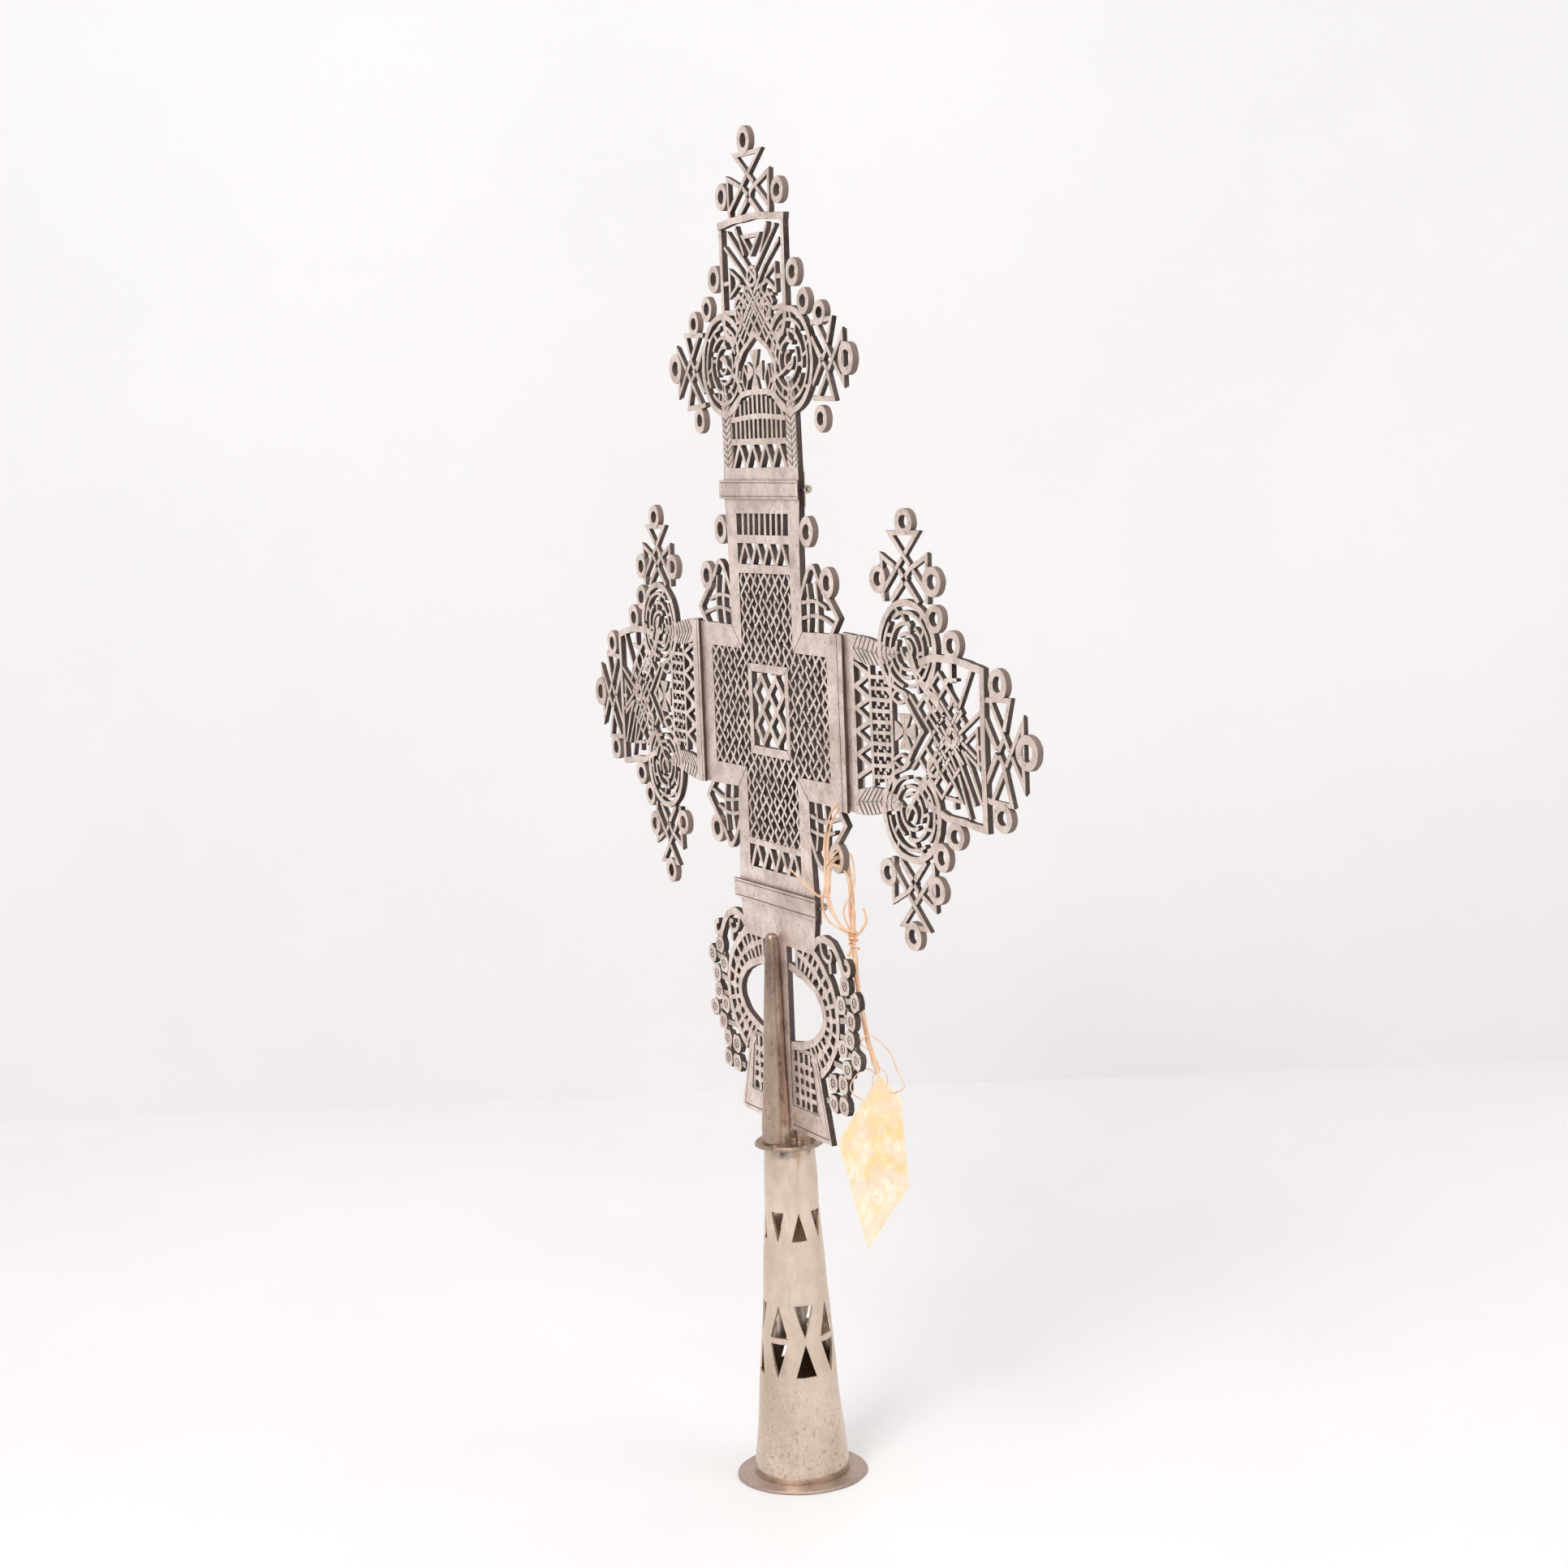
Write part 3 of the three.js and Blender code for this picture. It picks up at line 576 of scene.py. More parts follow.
def aged_silver(name, light, shade, tarnish_and_shade_cuts=True, metal=0.8, gloss=0.36, grain=(1, 1, 6), pits=0.6,
                dents=0.35, clean_above=None):
    """Hand-filed nickel silver: bright faces polished by wear; brown tarnish with painted shade in the
    hollows; black-brown cut walls, partly tarnish and partly painted shade; ring rims lighter, partly rub
    wear and partly painted light.
    """
    material, tree, shader = new_material(name)
    place = node(tree, "ShaderNodeTexCoord")
    where = place.outputs["Object"]
    clouds = noise_field(tree, where, 28, 5)
    flecks = ramp(tree, noise_field(tree, where, 520, 6, rough=0.7), 0.55, 0.7)
    filing = noise_field(tree, where, 260, 3, grain)
    blotch = ramp(tree, noise_field(tree, where, 115, 6, rough=0.68), 0.44, 0.68)
    scuff = ramp(tree, noise_field(tree, where, 900, 3, grain), 0.58, 0.7)
    if clean_above:
        height = node(tree, "ShaderNodeSeparateXYZ")
        tree.links.new(where, height.inputs[0])
        dirty = ramp(tree, height.outputs["Z"], clean_above * 0.2, clean_above, 1, 0.12)
        blotch, scuff, flecks = (maths(tree, "MULTIPLY", mark, dirty) for mark in (blotch, scuff, flecks))
    base = mixed(tree, ramp(tree, clouds, 0.34, 0.66), shade, light)
    base = mixed(tree, maths(tree, "MULTIPLY", blotch, 0.5), base, BLOTCH)
    base = mixed(tree, maths(tree, "MULTIPLY", scuff, 0.35), base, SCUFF)
    base = mixed(tree, maths(tree, "MULTIPLY", flecks, pits), base, FLECK)
    rough = ramp(tree, filing, 0.3, 0.7, gloss, gloss + 0.2)
    if tarnish_and_shade_cuts:
        # Cut walls, found from their normals, and sunk layers are painted near-black brown: partly tarnish on
        # the unpolished cuts, partly painted shade in the cuts and recesses.
        turned_away = node(tree, "ShaderNodeSeparateXYZ")
        tree.links.new(place.outputs["Normal"], turned_away.inputs[0])
        facing = maths(tree, "ABSOLUTE", turned_away.outputs["Y"], 0)
        wall = ramp(tree, facing, 0.35, 0.85, 1, 0)
        depth = node(tree, "ShaderNodeAttribute", attribute_name="hollow_tarnish_and_shade")
        rim_wear_and_light_mark = node(tree, "ShaderNodeAttribute", attribute_name="rim_wear_and_light")
        # Sunk layers, from the depth mark: tarnish together with painted shade.
        recess_tarnish_and_shade = ramp(tree, depth.outputs["Fac"], 0.12, 0.75)
        tarnish_and_shade = maths(tree, "MAXIMUM", wall, recess_tarnish_and_shade)
        tarnish_and_shade = maths(tree, "MULTIPLY", tarnish_and_shade, ramp(tree, clouds, 0.35, 0.65, 0.9, 1))
        tarnish_and_shade_colour = mixed(tree, ramp(tree, filing, 0.35, 0.7), TARNISH_AND_SHADE_DARK, TARNISH_AND_SHADE_LIGHT)
        # Outer walls of rings are painted lighter: partly rub wear, partly painted light.
        tarnish_and_shade_colour = mixed(tree, maths(tree, "MULTIPLY", rim_wear_and_light_mark.outputs["Fac"], 0.8), tarnish_and_shade_colour, RIM_WEAR_AND_LIGHT_COLOUR)
        base = mixed(tree, tarnish_and_shade, base, tarnish_and_shade_colour)
        rough = maths(tree, "ADD", rough, maths(tree, "MULTIPLY", tarnish_and_shade, 0.4))
        # Where the painted shade lies, the metal is turned off so those parts reflect little.
        shine = ramp(tree, tarnish_and_shade, 0, 1, metal, 0.0)
        shader.inputs["Specular IOR Level"].default_value = 0.15
        tree.links.new(shine, shader.inputs["Metallic"])
    else:
        shader.inputs["Metallic"].default_value = metal
    tree.links.new(base, shader.inputs["Base Color"])
    tree.links.new(rough, shader.inputs["Roughness"])
    relief = maths(tree, "ADD", maths(tree, "MULTIPLY", filing, 0.5), maths(tree, "MULTIPLY", clouds, 0.5))
    bumped(tree, shader, relief, dents, 0.0004)
    return material


def dry_fibre():
    material, tree, shader = new_material("split_palm_fibre")
    where = node(tree, "ShaderNodeTexCoord").outputs["Object"]
    streaks = noise_field(tree, where, 700, 4, (1, 1, 0.12))
    tone = noise_field(tree, where, 60, 3)
    base = mixed(tree, ramp(tree, streaks, 0.35, 0.68), (0.66, 0.30, 0.13), (0.84, 0.62, 0.43))
    base = mixed(tree, ramp(tree, tone, 0.4, 0.7, 0, 0.6), base, (0.86, 0.70, 0.53))
    coated(tree, shader, base, 0.62)
    bumped(tree, shader, streaks, 0.5, 0.0003)
    return material


def mottled_paper():
    material, tree, shader = new_material("mottled_paper")
    where = node(tree, "ShaderNodeTexCoord").outputs["Object"]
    wash = noise_field(tree, where, 120, 5, (1, 1, 0.7), 0.62)
    flakes = noise_field(tree, where, 330, 5, (1.8, 1.8, 0.7), 0.7)
    shreds = noise_field(tree, where, 260, 4, (0.8, 1.5, 1.2), 0.65)
    veins = noise_field(tree, where, 170, 3)
    base = mixed(tree, ramp(tree, wash, 0.40, 0.60), (0.80, 0.60, 0.28), (0.84, 0.77, 0.62))
    base = mixed(tree, ramp(tree, flakes, 0.48, 0.62, 0, 0.8), base, (0.80, 0.62, 0.38))
    base = mixed(tree, ramp(tree, shreds, 0.56, 0.68, 0, 0.55), base, (0.80, 0.50, 0.34))
    line = ramp(tree, maths(tree, "ABSOLUTE", maths(tree, "SUBTRACT", veins, 0.5), 0), 0.0, 0.012, 0.4, 0)
    base = mixed(tree, line, base, (0.74, 0.60, 0.50))
    coated(tree, shader, base, 0.8)
    bumped(tree, shader, flakes, 0.4, 0.0003)
    return material


def plain_surface(name, colour, roughness):
    material, tree, shader = new_material(name)
    where = node(tree, "ShaderNodeTexCoord").outputs["Object"]
    smudge = noise_field(tree, where, 3, 4)
    darker = tuple(c * 0.97 for c in colour)
    coated(tree, shader, mixed(tree, ramp(tree, smudge, 0.4, 0.65), colour, darker), roughness)
    return material


FACE_SILVER = aged_silver("filed_silver", (1.0, 0.87, 0.805), (0.78, 0.65, 0.58))
BAND_SILVER = aged_silver("band_silver", (0.98, 0.84, 0.77), (0.66, 0.55, 0.485), grain=(1, 6, 6))
SOCKET_SILVER = aged_silver("rolled_silver", (0.82, 0.665, 0.565), (0.58, 0.475, 0.37), tarnish_and_shade_cuts=False,
                            metal=1.0, gloss=0.15, grain=(1, 1, 0.3), pits=0.85, dents=0.06, clean_above=0.06)
FLANGE_SILVER = aged_silver("tarnished_flange", (0.55, 0.43, 0.365), (0.36, 0.27, 0.22), tarnish_and_shade_cuts=False,
                            metal=0.75, gloss=0.36, grain=(6, 6, 1), pits=0.7, dents=0.2)
CAST_BRASS = aged_silver("cast_stem_metal", (0.60, 0.46, 0.37), (0.30, 0.215, 0.165), tarnish_and_shade_cuts=False,
                         metal=0.92, gloss=0.2, grain=(1, 1, 0.3), pits=0.85, dents=0.12)
HINGE_METAL = aged_silver("hinge_metal", (0.52, 0.45, 0.37), (0.30, 0.25, 0.2), tarnish_and_shade_cuts=False,
                          metal=0.85, gloss=0.4)
FIBRE = dry_fibre()
PAPER = mottled_paper()


# ---- raffia tie: first, because its place is settled with the frame

TIE_DIAMETER = 1.8
TIE_ROUTE = [(57.2, -5, 273), (57.6, -4.7, 279), (58.3, -4, 285), (59, -1.9, 288.9), (59.4, 1.7, 289),
             (60, 4.1, 285), (60.6, 4.6, 279), (61.2, 4.4, 271), (61.9, 4.2, 262), (62.7, 4, 252),
             (63.6, 4, 242), (64.8, 4.3, 232), (66.2, 5, 222), (67.9, 6.1, 212), (69.8, 7.6, 204),
             (71.5, 8.85, 197.5)]
TAG_HOLE = Vector((71.8, 9, 192.5))
TAG_TURN = math.radians(64)
PAPER_THICK, TAG_MARGIN = 0.35, 2.4
TAG_OUTLINE = [(0, 4.2), (-18.5, -24.5), (-7.5, -72), (11, -45), (9, -6.5)]


def fibres(name, lines, body, radius, roundness=1, swell=0.45, nodes=()):
    """One piece of several strands, through points in millimetres, each thicker here and thinner there."""
    data = bpy.data.curves.new(name, "CURVE")
    data.dimensions = "3D"
    data.bevel_depth = radius * MM
    data.bevel_resolution = roundness
    data.use_fill_caps = True
    for number, line in enumerate(lines):
        spline = data.splines.new("POLY")
        spline.points.add(len(line) - 1)
        for k, (target, point) in enumerate(zip(spline.points, line)):
            target.co = (*(Vector(point) * MM), 1)
            target.radius = 1 + swell * uneven(k / 4, number * 3.1, 6)
    data.materials.append(FIBRE)
    return on_body(shown(name, data), body, nodes)


def line_length(points):
    return sum((Vector(b) - Vector(a)).length for a, b in zip(points, points[1:]))


def beside_tag(across, up):
    """A point given from the tag's hole, in the tag's own plane."""
    return tuple(TAG_HOLE + Vector((across * math.cos(TAG_TURN), across * math.sin(TAG_TURN), up)))


HUNG_FIBRES = [[beside_tag(*at) for at in line] for line in (
    ((0.5, 5), (-4, 15), (-7.6, 18), (-3, 21.4), (4.6, 14), (8, 5), (10.4, -2), (3, -4), (-1, 1.5)),
    ((0, 3), (-5, 7), (-10, 4), (-12.4, -1.6), (-8, -6.2), (-2, -6), (2.4, -3)),
    ((-0.6, 8), (2.6, 5), (3.4, 0.4), (0.8, -5), (-2.2, -9.4)),
    ((0.4, 7), (-2.4, 3.6), (-2.6, -1), (0.2, -4), (3.6, -3.4)))]
KNOT = (62.4, 4, 255)
KNOT_FIBRES = [
    [(66.5, -3.2, 313.5), (62.5, -4.6, 309), (57.6, -4.9, 300), (56.6, -5.2, 289), (57.4, -5.4, 279),
     (59, -3.6, 267), (61, 0.6, 259), KNOT],
    [(67.4, -3, 312), (64, -4.8, 306), (60.4, -5.2, 298), (58.6, -5, 290), (56.4, -5.4, 281), (58.4, -5, 269),
     (60.8, -0.6, 260), KNOT],
    [(57, -5.4, 283), (61.8, -3.4, 287), (64.6, 0.6, 283), (63.8, 2.2, 274), (61.4, 0.2, 266), KNOT],
    [(58.4, -5.2, 287), (63, -1.4, 293.4), (66, 2.4, 291), (65, 4.2, 280), (62, 2.8, 268), KNOT,
     (63.6, 4.6, 247)],
    [(57.2, -5.4, 279), (55.4, -6.6, 270), (57.4, -4.6, 262), KNOT, (61.2, 1.6, 247)],
    [(58, -5.6, 273), (47, -4.4, 272), (34, -3.8, 275), (20, -3.4, 279.6)],
    [(62.8, 6, 257), (60.8, 3.2, 256.6), (62.6, 1.9, 255.4), (64.4, 4, 254.6), (62.4, 6.1, 253.6),
     (60.7, 4, 252.8), (62.8, 1.8, 252), (64.6, 4.6, 251), (63, 6, 250)],
    [(60.9, 4.6, 258), (62.6, 1.8, 258.4), (64.3, 4.2, 257.2), (62, 6, 256), (60.6, 3.4, 254.4),
     (63.4, 2, 253.6)],
    [KNOT, (66.4, 5.6, 258), (68.4, 7.4, 263), (67, 6.8, 268)],
]


def twined(route, offset, turns, start):
    """A strand laid around the tie."""
    line = []
    for k, point in enumerate(route):
        angle = start + turns * 2 * math.pi * k / len(route)
        loose = offset * (1 + 0.7 * uneven(k / 5, start, 2))
        line.append(Vector(point) + Vector((math.cos(angle), math.sin(angle), 0)) * loose)
    return line


def make_loose_fibres(route):
    around = [twined(route, 0.85, turns, start) for turns, start in ((5, 0), (-4, 2.1), (7, 4.2), (3, 5.3))]
    fibres("raffia_strands", around, "socket", 0.45)
    fibres("raffia_loops_at_tag", [smooth_line(*line, steps=4) for line in HUNG_FIBRES], "socket", 0.28)
    fibres("raffia_knot_at_ring", [smooth_line(*line, steps=4) for line in KNOT_FIBRES], "centre", 0.5)


def make_tag():
    work = bmesh.new()
    outline = [work.verts.new((a, 0, b)) for a, b in TAG_OUTLINE]
    sheet = work.faces.new(outline)
    bmesh.ops.inset_region(work, faces=[sheet], thickness=TAG_MARGIN, use_even_offset=True)
    sliced(work, (0, 0, 1), range(-68, 4, 4))
    sliced(work, (1, 0, 0), range(-16, 11, 4))
    for vert in work.verts:
        past_middle = vert.co.z + 30
        curl = 0.00027 * past_middle ** 2 * (0.4 if past_middle > 0 else 1)
        vert.co.y += 0.7 * noise.noise(vert.co / 14) - curl
    faces = list(work.faces)
    bmesh.ops.recalc_face_normals(work, faces=faces)
    bmesh.ops.solidify(work, geom=faces, thickness=PAPER_THICK)
    turn = Matrix.Translation(TAG_HOLE) @ Matrix.Rotation(TAG_TURN, 4, "Z")
    finish_piece("hung_paper_tag", work, "socket", PAPER, ["paper_tag"], 40, False, turn)


make_camera()
tie_route = smooth_line(*TIE_ROUTE, steps=3)
tie = fibres("raffia_cord", [tie_route], "socket", TIE_DIAMETER / 2, 3, 0, ["raffia_tie"])
make_loose_fibres(tie_route)
make_tag()


# ---- motifs shared by the sheets

STAR_HALF, STAR_HEIGHT = 18.0, 27.0
STAR_STRAND = [(0, 27), (10.8, 27), (-17.5, 3.4), (-18, 18), (-4, 12.3), (11, -0.5)]
STAR_BRACE = [(-11, -0.5), (2.2, 9.6)]


def star_knot(sheet, at, heading, half, height, width=2.1):
    """Three woven points: one outwards and one to each side, tied at the base."""
    scale = (half / STAR_HALF, height / STAR_HEIGHT)
    strands = [(placed(path, at, heading, scale), False) for path in both_sides(STAR_STRAND, STAR_BRACE)]
    sheet.weave(strands, width, 0.28)
    feet = both_sides([(-17.5, 3.4), (-17, -0.8)])
    sheet.straps_of([placed(path, at, heading, scale) for path in feet], width, 0.2)


HOOP_ARC = 142
RING_SHARES = (0.76, 0.56, 0.37)
RING_ARCS = (((-176, -96), (-84, 34), (46, 170)),
             ((-158, -30), (-18, 92), (106, 196)),
             ((-110, 36), (56, 218)))
SPOKES = ((-140, -92, -38, 21, 84, 142), (-118, -58, 8, 66, 122), (-98, -12, 92, 150))
FINE = 1.6                             # width of a wheel's thinnest straps


def wheel(sheet, centre, radius, outward, inner_tail):
    """A hoop with broken inner rings, short spokes and a looped tail in the middle."""
    sheet.strap(arc(centre, radius - 1.4, outward - HOOP_ARC, outward + HOOP_ARC), 2.8)
    rings = [radius * share for share in RING_SHARES]
    for level, (size, stretches) in enumerate(zip(rings, RING_ARCS)):
        middle = placed([(0, -0.5 * level)], centre, outward)[0]
        for start, end in stretches:
            part = arc(middle, (size, size * 0.97), outward + start, outward + end)
            sheet.strap(part, FINE, 0.06 + 0.05 * level)
    for far, near, angles in zip((radius - 2, rings[0] + 0.3, rings[1] + 0.3), rings, SPOKES):
        for angle in angles:
            sheet.strap(placed([(0.8, near - 0.4), (-0.8, far)], centre, outward + angle), FINE, 0.2)
    loop = arc(centre, 3.6, inner_tail - 130, inner_tail + 150, 1.0)
    far = placed([(1.5, radius - 1.5), (-1.5, 8)], centre, inner_tail)
    sheet.strap([*loop, far[1], far[0]], FINE, 0.02)


def cross_pattee(sheet, centre, reach_x, reach_z):
    waist, flare = 1.0, 4.3
    for heading, reach in ((0, reach_x), (90, reach_z), (180, reach_x), (270, reach_z)):
        arm = [(-waist, 1.2), (waist, 1.2), (flare * 0.8, reach * 0.7), (flare, reach),
               (-flare, reach), (-flare * 0.8, reach * 0.7)]
        sheet.area([placed(arm, centre, heading)], 0, 1.6, 0.3)
        vein = placed([(0, 2), (0, reach - 0.7)], centre, heading)
        sheet.strap(vein, 0.35, -0.08, 0.4)
    sheet.area([placed(block(-2.2, 2.2, -2.2, 2.2), centre, 45)], 0.3, edge=0.2)


def along(points, share):
    span = line_length(points) * min(max(share, 0.0), 0.999)
    return stretch(points, span, span + 0.05)[0]


def leaf(sheet, rib, upper, lower, count=11):
    """A hatched leaf: slanting slivers from the rib to each edge, over a sunk ground."""
    sheet.area([[*upper, *lower[::-1][1:-1]]], 0.4, 2.0, 0.15)
    spine = [Vector(p) for p in rib]
    slant, groove = 0.12, 0.028
    for edge in (upper, lower):
        side = [Vector(p) for p in edge]
        for k in range(count):
            near, far = k / count, (k + 1) / count - groove
            sliver = [along(spine, near), along(spine, far), along(side, far + slant * (1 - far)),
                      along(side, near + slant * (1 - near) if k else 0.0)]
            middle = sum((Vector(p) for p in sliver), Vector((0, 0))) / 4
            inner = [tuple(Vector(p) + (middle - Vector(p)).normalized() * 0.2) for p in sliver]
            sheet.area([inner], 0.0, 0.7, 0.1)


def closed_both(half_outline):
    """An outline from its right half, drawn upwards."""
    return [*half_outline, *mirrored(half_outline)[::-1]]


# ---- centre sheet

LATTICE_STEP = (3.6, 3.35)
ARM_STEPS, ARM_RISE, COLUMN_STEPS, COLUMN_RISE = 16, 8, 7, 18
BORDER_RIGHT = [(38.2, 265.2), (36.2, 286), (35.6, 311.2), (SEAM_SIDE - 0.5, 310.6),
                (SEAM_SIDE - 0.5, 384.6), (35.6, 384), (35.9, 420), (37.8, 444)]
LATTICE_RIGHT = [(25.6, 289), (25.6, 320.8), (57.4, 320.8), (57.4, 374.4), (25.6, 374.4), (25.6, 408)]
UPPER_ZIGZAG, UPPER_SLOTS, LOWER_ZIGZAG = (411.8, 421.2), (425, 434.2), (276.2, 286.2)
WINDOW_HALF = 25.7
GROOVE = 0.22


def lattice_inside(i, j):
    arms = abs(i) < ARM_STEPS and abs(j) < ARM_RISE
    column = abs(i) < COLUMN_STEPS + 0.2 and abs(j) < COLUMN_RISE
    return (arms or column) and not (abs(i) < 4.6 and abs(j) < 5.1)


def lattice_side(i, j):
    if abs(i) == ARM_STEPS or (abs(i) == COLUMN_STEPS and abs(j) > ARM_RISE):
        return 1
    return 2 if (i % 4 == 2 and j % 4 == 2) or (i % 4 == 0 and j % 4 == 0) else 0


def lattice_level(i, j):
    return 1 if abs(j) == COLUMN_RISE or (abs(j) == ARM_RISE and abs(i) > COLUMN_STEPS) else 0


def flipped(path):
    return [(x, 2 * ARM_MID - z) for x, z in path]


def rosette_paths():
    contour = [*smooth_line((34.5, 398), (39, 405.5), (43.5, 411), (47.5, 412), (50, 409), (53, 405.5)),
               (61, 398.6), (69.3, 391), (61, 383)]
    bars = [smooth_line((41.5, 383), (43, 395), (41, 405)), smooth_line((50, 383), (51, 395), (49.5, 406)),
            smooth_line((35, 396.5), (47, 397.5), (59, 395)), smooth_line((35, 390), (50, 391.5), (66, 388))]
    return contour, bars


def centre_border(sheet):
    lattice = closed_both(LATTICE_RIGHT)
    windows = [lattice] + [block(-WINDOW_HALF, WINDOW_HALF, *span)
                           for span in (UPPER_ZIGZAG, UPPER_SLOTS, LOWER_ZIGZAG)]
    outline = closed_both(BORDER_RIGHT)
    sheet.area([outline, *windows], 0.5)
    low, waist_low, corner_low, end_low, end_high, corner_high, waist_high, top = BORDER_RIGHT
    inner = LATTICE_RIGHT

    def clear_of(point, across, up):
        return (point[0] + GROOVE * across, point[1] + GROOVE * up)

    side = [clear_of(corner_low, 1, 0), end_low, end_high, clear_of(corner_high, 1, 0),
            clear_of(inner[4], 1, 0), inner[3], inner[2], clear_of(inner[1], 1, 0)]
    sheet.area([side], 0, 0.7)
    sheet.area([mirrored(side)[::-1]], 0, 0.7)
    head = closed_both([clear_of(corner_high, 0, 1), waist_high, top])
    head_hole = closed_both([clear_of(inner[4], 0, 1), inner[5]])[::-1]
    sheet.area([head + head_hole, *windows[1:3]], 0, 0.7)
    foot = [low, waist_low, clear_of(corner_low, 0, -1), clear_of(inner[1], 0, -1), inner[0]]
    sheet.area([closed_both(foot), windows[3]], 0, 0.7)


def centre_medallion(sheet):
    half_x, half_z, bar = 20, 20.3, 3.6
    mid, gap = ARM_MID + 0.2, 0.15
    for sign in (-1, 1):
        top = [(-half_x + gap, half_z * sign), (half_x - gap, half_z * sign),
               (half_x - bar - gap, (half_z - bar) * sign), (-half_x + bar + gap, (half_z - bar) * sign)]
        side = [(half_x * sign, -half_z + gap), (half_x * sign, half_z - gap),
                ((half_x - bar) * sign, half_z - bar - gap), ((half_x - bar) * sign, -half_z + bar + gap)]
        for outline in (top, side):
            sheet.area([[(x, z + mid) for x, z in outline]], -0.1, 0.9, 0.18)
    frame_line = [(x, z + mid) for x, z in block(-half_x + 1.8, half_x - 1.8, -half_z + 1.8, half_z - 1.8)]
    sheet.strap(frame_line, bar - 0.1, 0.45, closed=True)
    knot = plait(lambda i, j: abs(i) < 2 and abs(j) < 2,
                 lambda i, j: abs(i) == 2, lambda i, j: abs(j) == 2, 1, 2)
    strands = [([(7.1 * i, mid + 7.3 * j) for i, j in path], loop) for path, loop in knot]
    sheet.weave(strands, 2.8, 0.6, sink=0.02)
    for x, z in ((-16.4, 8.2), (-16.4, -8.2), (16.4, 8.2), (16.4, -8.2)):
        sheet.strap([(x, mid + z), (x * 0.86, mid + z * 0.95)], 2.2, 0.3)
    for x in (-7.1, 7.1):
        for sign in (-1, 1):
            sheet.strap([(x, mid + 14 * sign), (x, mid + 17 * sign)], 2.2, 0.3)


def make_centre_sheet():
    sheet = Sheet()
    centre_border(sheet)
    centre_medallion(sheet)
    net = plait(lattice_inside, lattice_side, lattice_level, 0, COLUMN_RISE)
    strands = []
    for path, loop in net:
        line = [(LATTICE_STEP[0] * i, ARM_MID + LATTICE_STEP[1] * j) for i, j in path]
        strands.append((without_straights(line), loop))
    sheet.weave(strands, 1.5, 0.7, sink=0.12)
    sheet.strap(zigzag(-24.6, 24.6, UPPER_ZIGZAG[0] - 0.6, UPPER_ZIGZAG[1] + 0.4, 4), 2.3, 0.1)
    sheet.strap(zigzag(-24.6, 24.6, LOWER_ZIGZAG[0] - 0.4, LOWER_ZIGZAG[1] + 0.6, 4), 2.3, 0.1)
    for k in range(8):
        x = -19.6 + 5.6 * k
        sheet.strap([(x, UPPER_SLOTS[0] - 0.5), (x + 0.4, UPPER_SLOTS[1] + 0.5)], 2.2, 0.08)
    contour, bars = rosette_paths()
    sheet.straps_of(both_sides(contour, flipped(contour)), 2.5, 0.05)
    for number, path in enumerate(bars):
        sheet.straps_of(both_sides(path, flipped(path)), 1.7, 0.15 + 0.06 * number)
    for x in (-59.8, 59.8):
        for z in (405.7, 2 * ARM_MID - 405.7):
            sheet.ring((x * 1.01, z), 6.9)
    for x in (-43.2, 43.2):
        sheet.ring((x, 426.8), 6.8)
    finish_piece("centre_sheet", sheet.finished(), "centre", FACE_SILVER, ["centre_plate"],
                 rings_with_rim_wear_and_light=sheet.rings)


# ---- cover bands over the hinges

COVERS = (("lower", "band", "socket", (0.13, 0.86)), ("upper", "band", "centre", (0.13, 0.86)),
          ("left", "strip", "centre", (0.36,)), ("right", "strip", "centre", (0.64,)))


def cover_band(name, node_name, body, shares):
    low, high = node_box(node_name)
    upright = high.z - low.z > high.x - low.x
    middle = (low + high) / 2
    if upright:
        path, width = [(middle.x, low.z), (middle.x, high.z)], high.x - low.x
    else:
        path, width = [(high.x, middle.z), (low.x, middle.z)], high.z - low.z
    sheet = Sheet()
    sheet.engraved(path, width, shares, low.y - FRONT, depth=high.y - low.y)
    finish_piece(name, sheet.finished(0.3), body, BAND_SILVER, [node_name])


# ---- top sheet

def wheat_ear(sheet, side):
    outline = [(27, 453), (37.4, 453), (37.2, 476), (36.8, 484), (34.4, 492.5), (30.4, 486), (27, 478)]
    sheet.area([sided(outline, side)], 0.4)
    sheet.strap(sided([(32.2, 453.5), (32.8, 478), (34.2, 491)], side), 0.5, 0.0, 0.8)
    for k in range(12):
        z = 453.6 + 2.75 * k
        taper = min(1.0, (495 - z) / 24)
        spread = 4.7 * taper
        rib = 32.2 + 0.05 * k
        for way in (-1, 1):
            sliver = [((rib + way * 0.35) * side, z), ((rib + way * spread) * side, z + 3.2)]
            sheet.strap(sliver, 1.75, 0.02 + 0.03 * (k % 2), 0.9)


def woven_field(centre, step, spread, inside):
    """Straight plait strands over a patch, whose edge is the test inside(x, z)."""
    def within(i, j):
        return inside(centre[0] + step[0] * i, centre[1] + step[1] * j)

    net = plait(within, lambda i, j: 0, lambda i, j: 0, 1, spread, True)
    return [(without_straights([(centre[0] + step[0] * i, centre[1] + step[1] * j) for i, j in path]), loop)
            for path, loop in net if len(path) > 1]


def under_top_knot(x, z):
    return abs(x) < 20.5 and 514 - 0.75 * abs(x) < z < 532 - 0.3 * abs(x)


def beside_wing_knot(x, z):
    rise = abs(z - ARM_MID + 0.6)
    return 118 < x < 155 and max(0, 1.05 * (129 - x)) < rise < 25 - 0.62 * abs(x - 138)


